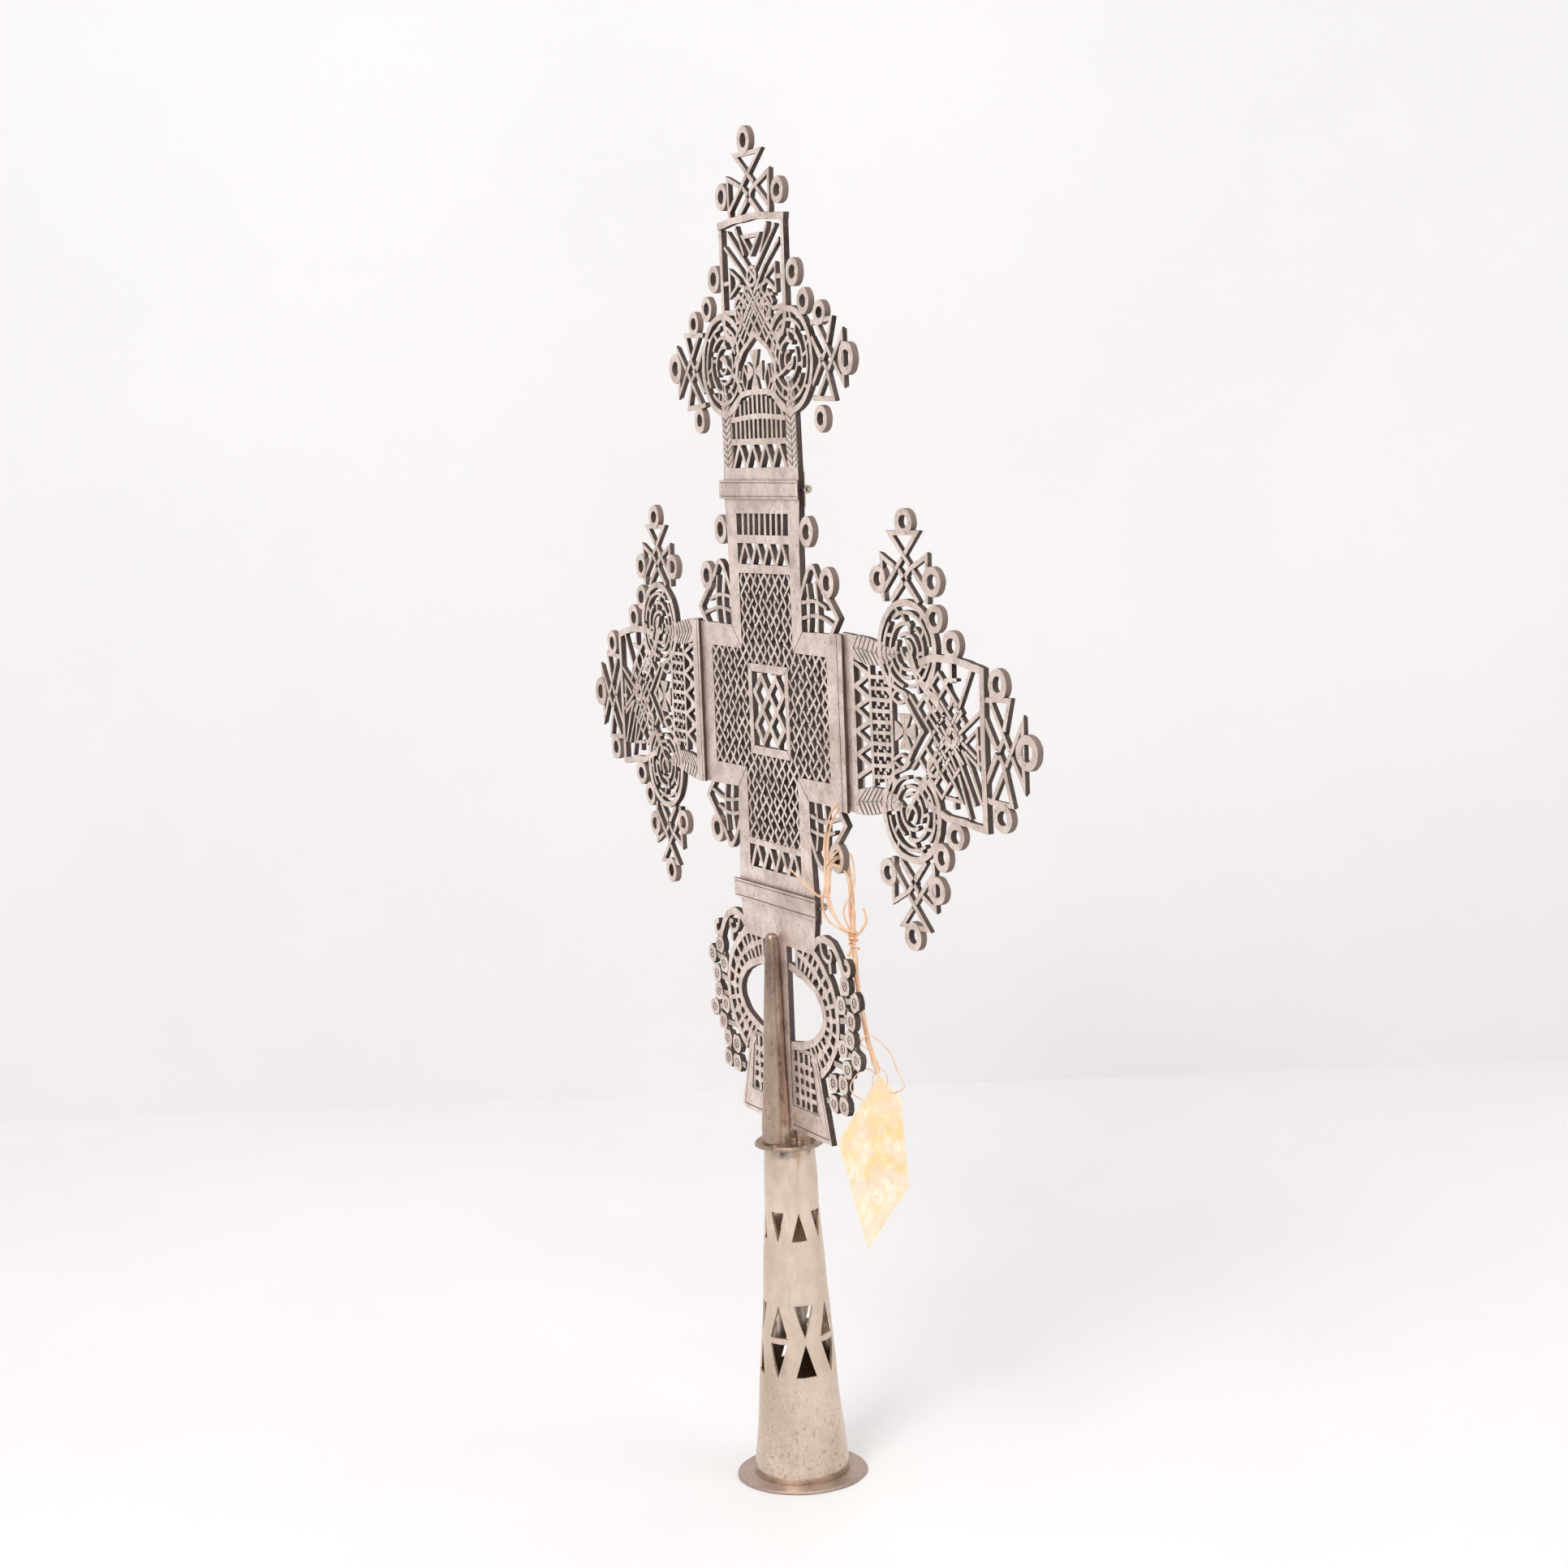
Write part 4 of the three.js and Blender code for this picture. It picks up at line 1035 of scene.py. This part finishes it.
def top_middle_knot(sheet):
    long_ray = [(26.5, 502), (14.5, 515.5), (0, 528.5), (-12, 540), (-27.5, 550.5)]
    bend = [(24, 556.5), (4, 540.5), (-12, 527), (-20, 521)]
    low_cross = [(21, 509), (8.5, 519.5), (-3, 531), (-14.5, 533.5), (-23, 529), (-22.5, 540), (-13.5, 535.5),
                 (0, 522), (12, 508.5)]
    strands = [(line, False) for path in (long_ray, bend, low_cross) for line in both_sides(path)]
    strands += woven_field((0, 520), (4.8, 4.6), 7, under_top_knot)
    sheet.weave(strands, 1.6, 0.3)
    sheet.strap([(-8.5, 553.6), (7.5, 553.6), (-0.5, 545.6)], 1.8, 0.12, closed=True)
    for centre, radius in (((-0.5, 536.2), 3.9), ((-14.6, 520.6), 3.4), ((13.4, 520.6), 3.4)):
        sheet.strap(circle(centre, radius, 1.3), 1.7, -0.05, 1.3, closed=True)
    for side in (-1, 1):
        sheet.strap([(30.5 * side, 522.4), (19 * side, 521.6)], 2.2, 0.18)
        sheet.strap([(30.5 * side, 534.6), (22 * side, 534.8)], 2.0, 0.2)
        sheet.strap([(16 * side, 558), (8 * side, 545.5)], 1.8, 0.3)
        sheet.strap(smooth_line((20 * side, 527.5), (12 * side, 527.6), (6 * side, 524)), 1.5, 0.22)
        sheet.strap([(17 * side, 505), (22.5 * side, 498)], 1.6, 0.2)


TOP_RINGS = [((39.2, 536.2), 6.4), ((48.2, 523.6), 5.8), ((62.6, 517.9), 5.6), ((85, 498.5), 7.1),
             ((60.6, 474.6), 6.0), ((28, 571), 6.2)]


def top_ladders(sheet):
    sheet.strap(zigzag(-26.5, 26.5, 453.8, 464.6, 4), 2.3, 0.12)
    sheet.strap([(-27.6, 465.6), (27.6, 465.2)], 2.7, 0.05)
    sheet.strap(smooth_line((-27.4, 475), (0, 476.2), (27.4, 475)), 2.3, 0.08)
    for k in range(11):
        x = -22.5 + 4.5 * k
        sheet.strap([(x, 466), (x + 0.2, 475.4)], 2.0, 0.16)
    for k in range(9):
        x = -17.6 + 4.4 * k
        sheet.strap([(x, 475.6), (x, 485.6 - 0.012 * x * x)], 2.0, 0.16)
    arch = [(28, 479), *smooth_line((21, 482.8), (14, 486), (0, 486.6), (-14, 486), (-21, 482.8)), (-28, 479)]
    sheet.strap(arch, 2.5, 0.04)
    sheet.straps_of(both_sides([(25.5, 474.8), (21.4, 483)]), 2.0, 0.2)


def make_top_sheet():
    sheet = Sheet()
    sheet.area([closed_both([(37.9, 445.2), (37.5, 454.2)])], 0, edge=0.25)
    for side in (-1, 1):
        wheat_ear(sheet, side)
    top_ladders(sheet)
    cross_pattee(sheet, (-0.8, 495.8), 7.6, 9.3)
    ogive = smooth_line((14.5, 486), (18.6, 491.5), (18.8, 497.5), (14, 504), (7, 508.2), (0, 512))
    sheet.strap(ogive + mirrored(ogive)[::-1][1:], 2.5, 0.02)
    for side in (-1, 1):
        lens = [*smooth_line((11, 486.5), (13.8, 492), (12, 498)),
                *smooth_line((12, 498), (8.8, 492.6), (11, 486.5))]
        sheet.strap(sided(lens, side), 1.4, 0.1)
        sheet.strap([(14 * side, 491.6), (18.4 * side, 492)], 1.5, 0.2)
        outward = 0 if side > 0 else 180
        wheel(sheet, (32.8 * side, 499.3), 22.8, outward, 180 - outward + 28 * side)
        star_knot(sheet, (54.6 * side, 498), outward, 16.4, 27.2)
        upright = [(20.5 * side, 509.5), *smooth_line((27 * side, 511), (30 * side, 516), (30.6 * side, 524)),
                   (31 * side, 558)]
        sheet.strap(upright, 3.0, 0.05)
        lift = 1.2 if side < 0 else -0.6
        for centre, outer in TOP_RINGS:
            sheet.ring((centre[0] * side, centre[1] + lift), outer)
    bar = smooth_line((-33, 559.6), (-15, 561), (2, 561.6), (18, 560.6), (33, 559.2))
    sheet.strap(bar, 3.0, 0.0)
    top_middle_knot(sheet)
    star_knot(sheet, (-1, 561.5), 90, 20.5, 27)
    sheet.ring((-3.4, 594.2), 6.5)
    finish_piece("top_sheet", sheet.finished(), "top", FACE_SILVER, ["top_plate"],
                 rings_with_rim_wear_and_light=sheet.rings)


# ---- wing sheets

WING_RINGS = [((118, 431.6), 6.1), ((99, 408.4), 6.1), ((136, 408), 6.3), ((137, 393.2), 6.2),
              ((147.8, 383.2), 6.4), ((176.8, 369.2), 6.4), ((194.2, 344), 7.4), ((177.6, 317.4), 6.3),
              ((146.6, 307.2), 6.1), ((137, 297.8), 6.1), ((132.8, 284), 6.1), ((99.2, 287.8), 6.1),
              ((115.4, 263), 6.2)]


def wing_leaves(sheet):
    upper_leaf = (smooth_line((77, 380), (92, 378.5), (104, 377.6), (113, 379)),
                  smooth_line((77, 385), (88, 384.6), (100, 382), (113, 379)),
                  smooth_line((80, 374.5), (92, 372.6), (103, 374), (113, 379)))
    leaf(sheet, *upper_leaf)
    leaf(sheet, *[flipped(path) for path in upper_leaf])


def wing_ladder(sheet):
    for x in (91, 105.4):
        sheet.strap([(x, 323), (x - 0.3, 373)], 1.9, 0.06)
    for k in range(10):
        z = 327 + 4.55 * k
        sheet.strap([(90.4, z), (105.6, z + 0.3)], 1.7, 0.14)
        shift = 1.2 if k % 2 else -0.8
        for x in (95.4, 100.6):
            sheet.strap([(x + shift, z - 2.4), (x + shift, z + 2.4)], 1.4, 0.2)


def wing_middle_knot(sheet):
    cage = [(127, 346.6), (119.5, 355), (113.5, 362.8), (105, 366)]
    sheet.straps_of((cage, flipped(cage)), 2.0, 0.06)
    for z in (360.8, 2 * ARM_MID - 360.8):
        eye = smooth_line((105.5, z), (111, z + 3), (117, z + 0.4), (111, z - 2.4), (105.5, z))
        sheet.strap(eye[:-1], 1.5, 0.12, closed=True)
    upper = [[(167, 359), (150.5, 348.5), (136, 336), (124, 327), (117, 316)],
             [(160, 374.5), (150, 357), (140, 345.6), (129, 333), (124, 322)],
             [(117.5, 379), (127.5, 368), (139, 357.5), (150.5, 344), (163, 336), (162.5, 351), (150, 342)],
             [(150.5, 369.5), (143, 369), (146.5, 361.5), (155, 352.5)],
             [(124, 371), (134.5, 362), (146, 351), (158, 335), (164.5, 321)]]
    strands = [(path, False) for path in upper]
    strands += [(flipped(path), False) for path in upper[:2]]
    strands += [([(140.5, 322.5), (151.5, 321.6), (144.5, 331.5), (134, 344)], False),
                ([(156.5, 315), (150, 332), (141, 345), (131, 354)], False)]
    strands += woven_field((138, ARM_MID - 0.6), (4.9, 5.0), 7, beside_wing_knot)
    sheet.weave(strands, 1.6, 0.3)
    for centre in ((134.3, 360), (145.8, 346.8), (133, 334)):
        sheet.strap(circle(centre, 3.5, 1.3), 1.7, -0.05, 1.3, closed=True)
    for end in ((146.8, 376), (146.5, 318)):
        sheet.strap([end, (146.4, 368 if end[1] > 346 else 323)], 1.8, 0.2)


def make_wing_sheet(side):
    sheet = Sheet()
    border = [(SEAM_SIDE + 0.5, 310.4), (80, 311), (79.4, 324.5), (80.2, 348), (79.4, 373.4), (80, 385.2),
              (SEAM_SIDE + 0.5, 385.6)]
    sheet.area([border], 0.0, edge=0.25)
    teeth = [(x, z) for z, x in zigzag(326, 373.4, 80, 90, 5)]
    sheet.strap([(80.2, 325), *teeth, (80.2, 374)], 2.0, 0.1)
    wing_leaves(sheet)
    wing_ladder(sheet)
    cross_pattee(sheet, (114.6, 346.9), 7.3, 7.3)
    wheel(sheet, (117.4, 380.4), 20.4, 90, -62)
    wheel(sheet, (117.2, 313.6), 20.4, -90, 58)
    wing_middle_knot(sheet)
    top_bar = [(125, 375.5), (135, 377.8), *smooth_line((150, 377.4), (160, 375.6), (167.5, 374))]
    low_bar = [(128, 319), (142, 314), *smooth_line((150, 313.6), (160, 312.4), (167.5, 311.6))]
    sheet.straps_of((top_bar, low_bar), 3.0, 0.02)
    sheet.strap([(166.8, 375.4), (166.4, 343), (166.6, 310.2)], 3.0, -0.03)
    sheet.strap([(161, 344), (166, 344)], 1.8, 0.2)
    star_knot(sheet, (117.2, 400), 90, 15.6, 27)
    star_knot(sheet, (116.6, 294), -90, 14.4, 27)
    star_knot(sheet, (168, 343), 0, 20.5, 23.6)
    for centre, outer in WING_RINGS:
        sheet.ring(centre, outer)
    work = sheet.finished()
    rings = [((x * side, z), outer) for (x, z), outer in sheet.rings]
    turn = None
    if side < 0:
        bmesh.ops.scale(work, vec=(-1, 1, 1), verts=work.verts)
        bmesh.ops.reverse_faces(work, faces=work.faces)
    else:
        turn = about_axis(joint_pivot("right_fold"), RIGHT_WING_FOLD, "Z")
    word = "left" if side < 0 else "right"
    finish_piece(f"{word}_wing_sheet", work, f"{word}_wing", FACE_SILVER,
                 [f"{word}_wing_plate"], turn=turn, rings_with_rim_wear_and_light=rings)


# ---- lower ring sheet

RING_MID = 217.3
OUTER_OVAL, MID_OVAL, INNER_OVAL = (55, 35), (48.6, 26.8), (42.8, 18.3)
BEADS = [(63, 234.5), (71.7, 229), (59, 225.7), (67.5, 220.3), (66.2, 212), (71.2, 204), (59.2, 207),
         (62.5, 198.3), (48.8, 190), (58.2, 190.9), (48.8, 180.9), (58.4, 181.7)]
BEAD_LEANS = (12, 28, 8, -6, -14, -20, 14, 10, 2, 0, -2, 2)
BEAD_CORNERS = [(2.6, -3.9), (4.2, -1.6), (4.2, 1.6), (2.6, 3.9)]
BEAD_RIMS = (2.1, 1.5, 0.55)
BEAD_CHAIN = [BEADS[k] for k in (0, 2, 3, 4, 5, 7, 9, 11)]
BEAD_TIES = [[(52.6, 226), (76, 230.6)], [(54, 212.2), (67, 212)], [(51.6, 206.6), (72, 204)],
             [(44, 190), (58, 190.9)], [(41, 181), (58, 181.7)], [(49.4, 198.4), (62.5, 198.3)],
             [(55, 218.5), (67, 220.3)]]
RAY_ANGLES = sorted((-52, -46, -39, -32, 45, 51, 57, 63, -22, -11, 1, 13, 25, 35))
HOOK = [(32, 245), (37, 250), (44, 252.2), (52, 250.6), (58, 245.4), (61.4, 239.6), (63, 236)]
TENDRIL = [(41, 251.4), (42.4, 246), (46, 243.2), (50, 243.8), (50.6, 247), (47.6, 247.4)]


def oval_point(angle, oval):
    a = math.radians(angle)
    return (oval[0] * math.cos(a), RING_MID + oval[1] * math.sin(a))


def bead(sheet, centre, lean):
    """A stamped eight-sided bead with a ring and a dot in it."""
    outline = placed([*BEAD_CORNERS, *sided(BEAD_CORNERS[::-1], -1)], centre, 90 + lean)
    rims = [circle(centre, radius, 0.9) for radius in BEAD_RIMS]
    sheet.area([outline, *rims], -0.15, 0.8, 0.16)
    sheet.area([outline], 0.25, edge=0.3)


def diamond(sheet, x, z, half):
    sheet.area([placed(block(-half, half, -half, half), (x, z), 45)], 0.0, 1.2, 0.2)


def ring_half(sheet, side):
    outer_end, start = -48, 68
    for oval, first, last, width, sink in ((OUTER_OVAL, outer_end, 84, 3.3, 0.0),
                                           (MID_OVAL, outer_end - 4, start, 2.5, 0.12),
                                           (INNER_OVAL, -78, 78, 3.6, -0.02)):
        sheet.strap(sided(arc((0, RING_MID), oval, first, last, 2), side), width, sink)
    for k, angle in enumerate(RAY_ANGLES):
        ray = [oval_point(angle, INNER_OVAL), oval_point(angle * 0.985, OUTER_OVAL)]
        sheet.strap(sided(ray, side), 2.1, 0.16)
        if k % 2 == 0:
            x, z = oval_point(angle * 0.99, MID_OVAL)
            diamond(sheet, x * side, z, 2.2)
    for path, width, sink in (([(17.2, 231.6), (17.2, 250)], 2.4, 0.1), (smooth_line(*HOOK), 3.4, 0.04),
                              (arc((64.4, 242.4), 3.0, -150, 110, 1.2), 2.6, 0.0),
                              (smooth_line(*TENDRIL), 2.0, 0.1), ([(49, 243), (49.4, 238)], 2.4, 0.2)):
        sheet.strap(sided(path, side), width, sink)
    for (x, z), lean in zip(BEADS, BEAD_LEANS):
        bead(sheet, (x * side, z), lean * side)
    sheet.strap(sided(BEAD_CHAIN, side), 4.2, 0.6, 1.9)
    sheet.straps_of([sided(tie_line, side) for tie_line in BEAD_TIES], 2.6, 0.4, 2.0)


def trapezoid(sheet, side):
    outline = [(7.2, 161.3), (45.3, 161.3), (33.2, 199.6), (7.2, 199.6)]
    window = [(10.5, 173), (31.8, 173), (27.6, 197.6), (10.5, 197.6)]
    sheet.area([sided(outline, side), sided(window, side)], 0.45)
    rim = [(7.2, 161.3), (45.3, 161.3), (33.2, 199.6), (31.4, 199.6), (42.6, 163.3), (7.2, 163.3)]
    band = [(7.2, 163.75), (42.1, 163.75), (30.95, 199.6), (29.9, 199.6), (33.9, 172.2), (7.2, 172.2)]
    sheet.area([sided(rim, side)], 0, 0.6, 0.18)
    sheet.area([sided(band, side)], 0.02, 0.6, 0.18)
    rows = (177.6, 182.4, 187.2, 192)
    for k, z in enumerate(rows):
        sheet.strap(sided([(9.5, z), (32 - k, z)], side), 2.2, 0.1)
    for x in (15.4, 20.6, 25.8):
        sheet.strap(sided([(x, 172.4), (x - 0.4, 198)], side), 2.4, 0.16)
        for k, z in enumerate(rows):
            if (k + int(x)) % 2:
                diamond(sheet, x * side, z, 2.1)


def make_lower_sheet():
    sheet = Sheet()
    neck = [(7.3, 244), (34, 244), (36.4, 252), (38.6, 264)]
    sheet.area([closed_both(neck)], 0.0, edge=0.25)
    sheet.area([block(-7.5, 7.5, 161.3, 246)], 0.02, edge=0.25)
    for side in (-1, 1):
        ring_half(sheet, side)
        trapezoid(sheet, side)
    finish_piece("lower_sheet", sheet.finished(), "socket", FACE_SILVER, ["lower_plate"])


# ---- socket, flange, collar and stem

SOCKET_PROFILE = [(1.7, 21.7), (20, 19.9), (38, 18.3), (75, 15.5), (118, 12.8), (COLLAR_UNDER - 0.3, 11.6)]
SOCKET_WALL = 1.2
WINDOW_TURN = math.radians(9)
WINDOWS_ROUND = 8
ROLL_RADIUS = 15.5                     # the radius at which the flat sheet keeps its width
WINDOW_ROWS = [(49.5, 64.5, 4.7, False), (67.3, 82, 4.5, True), (111, 124, 3.5, False)]


def socket_radius(height):
    for (low, wide), (high, narrow) in zip(SOCKET_PROFILE, SOCKET_PROFILE[1:]):
        if height <= high:
            return wide + (narrow - wide) * (height - low) / (high - low)
    return SOCKET_PROFILE[-1][1]


def make_socket():
    """A pierced sheet, cut flat and rolled into a tapering tube."""
    half_turn = math.pi * ROLL_RADIUS
    outline = block(-half_turn, half_turn, SOCKET_PROFILE[0][0], SOCKET_PROFILE[-1][0])
    windows = []
    for low, high, half, first_up in WINDOW_ROWS:
        for k in range(WINDOWS_ROUND):
            middle = (k - 3.5) * math.pi / 4 * ROLL_RADIUS
            share = half * ROLL_RADIUS / socket_radius((low + high) / 2)
            up = (k % 2 == 0) == first_up
            base, tip = (low, high) if up else (high, low)
            windows.append([(middle - share, base), (middle + share, base), (middle + 0.15, tip)])
    sheet = Sheet()
    sheet.area([outline, *windows], 0, SOCKET_WALL, 0.14)
    work = sheet.finished()
    columns, levels = 64, 30
    sliced(work, (1, 0, 0), [-half_turn + 2 * half_turn * k / columns + 0.013 for k in range(1, columns)])
    sliced(work, (0, 0, 1), [SOCKET_PROFILE[-1][0] * k / levels + 0.07 for k in range(1, levels)])
    for vert in work.verts:
        angle = vert.co.x / ROLL_RADIUS - math.pi / 2 + WINDOW_TURN
        around = Vector((math.cos(angle), math.sin(angle), 0))
        dent = uneven(around.x * 1.6, around.y * 1.6, vert.co.z / 17)
        ripple = uneven(around.x * 4, around.y * 4, vert.co.z / 7)
        radius = socket_radius(vert.co.z) - (vert.co.y - FRONT) + 0.38 * dent + 0.1 * ripple - 0.15
        vert.co = around * radius + Vector((0, 0, vert.co.z))
    bmesh.ops.remove_doubles(work, verts=work.verts, dist=0.02)
    bmesh.ops.recalc_face_normals(work, faces=work.faces)
    finish_piece("rolled_socket", work, "socket", SOCKET_SILVER, ["socket_tube"], 35, False)


def spun(profile, steps=72):
    """A solid of revolution about the socket's axis, from (radius, height) points that close."""
    work = bmesh.new()
    points = [work.verts.new((r, 0, z)) for r, z in profile]
    lines = [work.edges.new(pair) for pair in zip(points, points[1:] + points[:1])]
    bmesh.ops.spin(work, geom=[*points, *lines], cent=(0, 0, 0), axis=(0, 0, 1), angle=2 * math.pi,
                   steps=steps, use_merge=True)
    bmesh.ops.remove_doubles(work, verts=work.verts, dist=0.002)
    bmesh.ops.recalc_face_normals(work, faces=work.faces)
    return work


def make_flange():
    high = node_box("base_flange")[1]
    outer, top = high.x, high.z
    profile = [(19.8, 0.25), (20.1, 0), (outer - 0.5, 0), (outer, 0.4), (outer, top - 0.45),
               (outer - 0.5, top), (24.4, top), (22.2, top + 0.22), (19.8, top + 0.22)]
    work = spun(profile, 96)
    for vert in work.verts:
        out = Vector((vert.co.x, vert.co.y, 0))
        if out.length > 24:
            vert.co += out.normalized() * (0.35 * noise.noise(out / 11) - 0.3)
        if vert.co.z > 0.3:
            vert.co.z += 0.12 * noise.noise(out / 6)
    finish_piece("foot_flange", work, "socket", FLANGE_SILVER, ["base_flange"], 35, False)


def make_collar():
    low, high = node_box("collar")
    outer = high.x
    profile = [(5, low.z), (outer - 0.7, low.z), (outer, low.z + 0.6), (outer, high.z - 0.7),
               (outer - 0.7, high.z - 0.05), (9, high.z), (5, high.z)]
    work = spun(profile, 80)
    for vert in work.verts:
        out = Vector((vert.co.x, vert.co.y, 0))
        if out.length > 12:
            droop = 0.9 * noise.noise(out / 13 + Vector((4, 1, 7)))
            vert.co.z += min(droop, 0.1) * (out.length - 12) / 4
            vert.co += out.normalized() * (0.3 * noise.noise(out / 8) - 0.25)
    finish_piece("solder_collar", work, "socket", CAST_BRASS, ["collar"], 35, False)


PRONG_FOOT_RADIUS, PRONG_FOOT_DEPTH, PRONG_FLAT = 6.6, 6.1, 1.72
REAR_TOP = 197


def prong(sign, top, tip_radius, tip_depth):
    """A cast tapering prong, cut flat where it clasps the sheet."""
    foot = COLLAR_TOP + 0.05
    work = bmesh.new()
    bmesh.ops.create_cone(work, cap_ends=True, segments=40, radius1=PRONG_FOOT_RADIUS, radius2=tip_radius,
                          depth=top - 3 - foot)
    bmesh.ops.translate(work, verts=work.verts, vec=(0, 0, (top - 3 + foot) / 2))
    cap = [face for face in work.faces if len(face.verts) > 4 and face.calc_center_median().z > foot + 1]
    for rise, shrink in ((1.3, 0.2), (1.0, 0.45), (0.6, 0.9)):
        bmesh.ops.inset_region(work, faces=cap, thickness=shrink, use_even_offset=True)
        bmesh.ops.translate(work, verts=[v for face in cap for v in face.verts], vec=(0, 0, rise))
    sliced(work, (0, 0, 1), [foot + (top - 3 - foot) * k / 30 for k in range(1, 30)])
    for vert in work.verts:
        share = (vert.co.z - foot) / (top - foot)
        depth = PRONG_FOOT_DEPTH + (tip_depth - PRONG_FOOT_DEPTH) * share
        dent = uneven(vert.co.x / 3, vert.co.y / 3, vert.co.z / 9 + sign * 5)
        lump = uneven(vert.co.x / 6, vert.co.y / 6, vert.co.z / 26)
        out = Vector((vert.co.x, vert.co.y, 0))
        vert.co += out * (0.045 * dent + 0.07 * lump)
        vert.co.y += sign * depth
    cut = bmesh.ops.bisect_plane(work, geom=[*work.verts, *work.edges, *work.faces],
                                 plane_co=(0, sign * PRONG_FLAT, 0), plane_no=(0, -sign, 0), clear_outer=True)
    rim = [part for part in cut["geom_cut"] if isinstance(part, bmesh.types.BMEdge)]
    bmesh.ops.holes_fill(work, edges=rim, sides=0)
    bmesh.ops.recalc_face_normals(work, faces=work.faces)
    return work


def make_stem():
    work = prong(-1, STEM_TOP, 3.0, 4.75)
    mesh = mesh_of(prong(1, REAR_TOP, 5, 5.7))
    work.from_mesh(mesh)
    bpy.data.meshes.remove(mesh)
    root = bmesh.ops.create_cone(work, cap_ends=True, segments=32, radius1=4.6, radius2=4.6, depth=10)
    bmesh.ops.translate(work, verts=root["verts"], vec=(0, 0, 151.2))
    finish_piece("forked_cast_stem", work, "socket", CAST_BRASS, ["forked_stem"], 38, False)


make_centre_sheet()
for place, kind, body, shares in COVERS:
    cover_band(f"{place}_{kind}", f"{place}_cover_{kind}", body, shares)
make_top_sheet()
make_wing_sheet(-1)
make_wing_sheet(1)
make_lower_sheet()
make_socket()
make_flange()
make_collar()
make_stem()
for obj in frame["nodes"].values():
    if not obj.hide_render:
        obj.data.materials.clear()
        obj.data.materials.append(HINGE_METAL)


# ---- stage

PANEL_SIZE = 6
PALE = (0.80, 0.79, 0.79)
WALL_WAY, WALL_DISTANCE, WALL_RISE = Vector((-0.90, 0.436, 0)), 0.75, 2.9
LIGHTS = (("key", 20, 0.7, (1.0, -1.3, 1.5), (0, 0, 0.3)),
          ("fill", 8, 1.2, (1.6, 0.9, 1.1), (0, 0, 0.3)),
          ("overhead", 11, 1.8, (0.2, -0.1, 2.2), (0, 0, 0.2)))
DARK_SIDES = ((-58, 0.82, 0.97), (80, 0.90, 0.98))     # heading, and where the dark starts and is full
SEEN_ROOM = 0.85                                       # the least the camera sees of the room's light


def area_light(name, power, size, place, aim):
    data = bpy.data.lights.new(name, "AREA")
    data.energy = power
    data.size = size
    light = bpy.data.objects.new(name, data)
    scene.collection.objects.link(light)
    light.rotation_euler = (Vector(aim) - Vector(place)).to_track_quat("-Z", "Y").to_euler()
    light.location = place


def flat_panel(name, matrix, material):
    work = bmesh.new()
    bmesh.ops.create_grid(work, x_segments=2, y_segments=2, size=PANEL_SIZE / 2)
    bmesh.ops.transform(work, matrix=matrix, verts=work.verts)
    mesh = mesh_of(work, name)
    mesh.materials.append(material)
    shown(name, mesh)


def clear_from_behind(material):
    """Lets a camera behind the backdrop see through it."""
    tree = material.node_tree
    surface = tree.nodes["Material Output"].inputs["Surface"]
    either = node(tree, "ShaderNodeMixShader")
    tree.links.new(node(tree, "ShaderNodeNewGeometry").outputs["Backfacing"], either.inputs[0])
    tree.links.new(surface.links[0].from_socket, either.inputs[1])
    tree.links.new(node(tree, "ShaderNodeBsdfTransparent").outputs[0], either.inputs[2])
    tree.links.new(either.outputs[0], surface)
    return material


def make_stage():
    scene.view_settings.view_transform = "Standard"
    flat_panel("floor", Matrix.Identity(4), plain_surface("pale_floor", PALE, 0.6))
    facing = (-WALL_WAY).to_track_quat("Z", "Y").to_matrix().to_4x4()
    wall = Matrix.Translation(WALL_WAY * WALL_DISTANCE + Vector((0, 0, WALL_RISE))) @ facing
    flat_panel("backdrop", wall, clear_from_behind(plain_surface("pale_wall", PALE, 0.6)))
    for light in LIGHTS:
        area_light(*light)
    world = bpy.data.worlds.new("room")
    scene.world = world
    world.use_nodes = True
    tree = world.node_tree
    background = tree.nodes["Background"]
    background.inputs["Color"].default_value = (1.0, 0.98, 0.975, 1)
    around = node(tree, "ShaderNodeTexCoord").outputs["Generated"]
    level = ramp(tree, noise_field(tree, around, 2.2, 1, (1, 1, 0.35)), 0.42, 0.6, 0.45, 1.1)
    for heading, start, full in DARK_SIDES:
        towards = node(tree, "ShaderNodeVectorMath", operation="DOT_PRODUCT")
        turn = math.radians(heading)
        towards.inputs[1].default_value = (math.cos(turn), math.sin(turn), 0)
        tree.links.new(around, towards.inputs[0])
        level = maths(tree, "MULTIPLY", level, ramp(tree, towards.outputs["Value"], start, full, 1, 0.06))
    seen = node(tree, "ShaderNodeLightPath").outputs["Is Camera Ray"]
    level = maths(tree, "MAXIMUM", level, maths(tree, "MULTIPLY", seen, SEEN_ROOM))
    tree.links.new(level, background.inputs["Strength"])


make_stage()
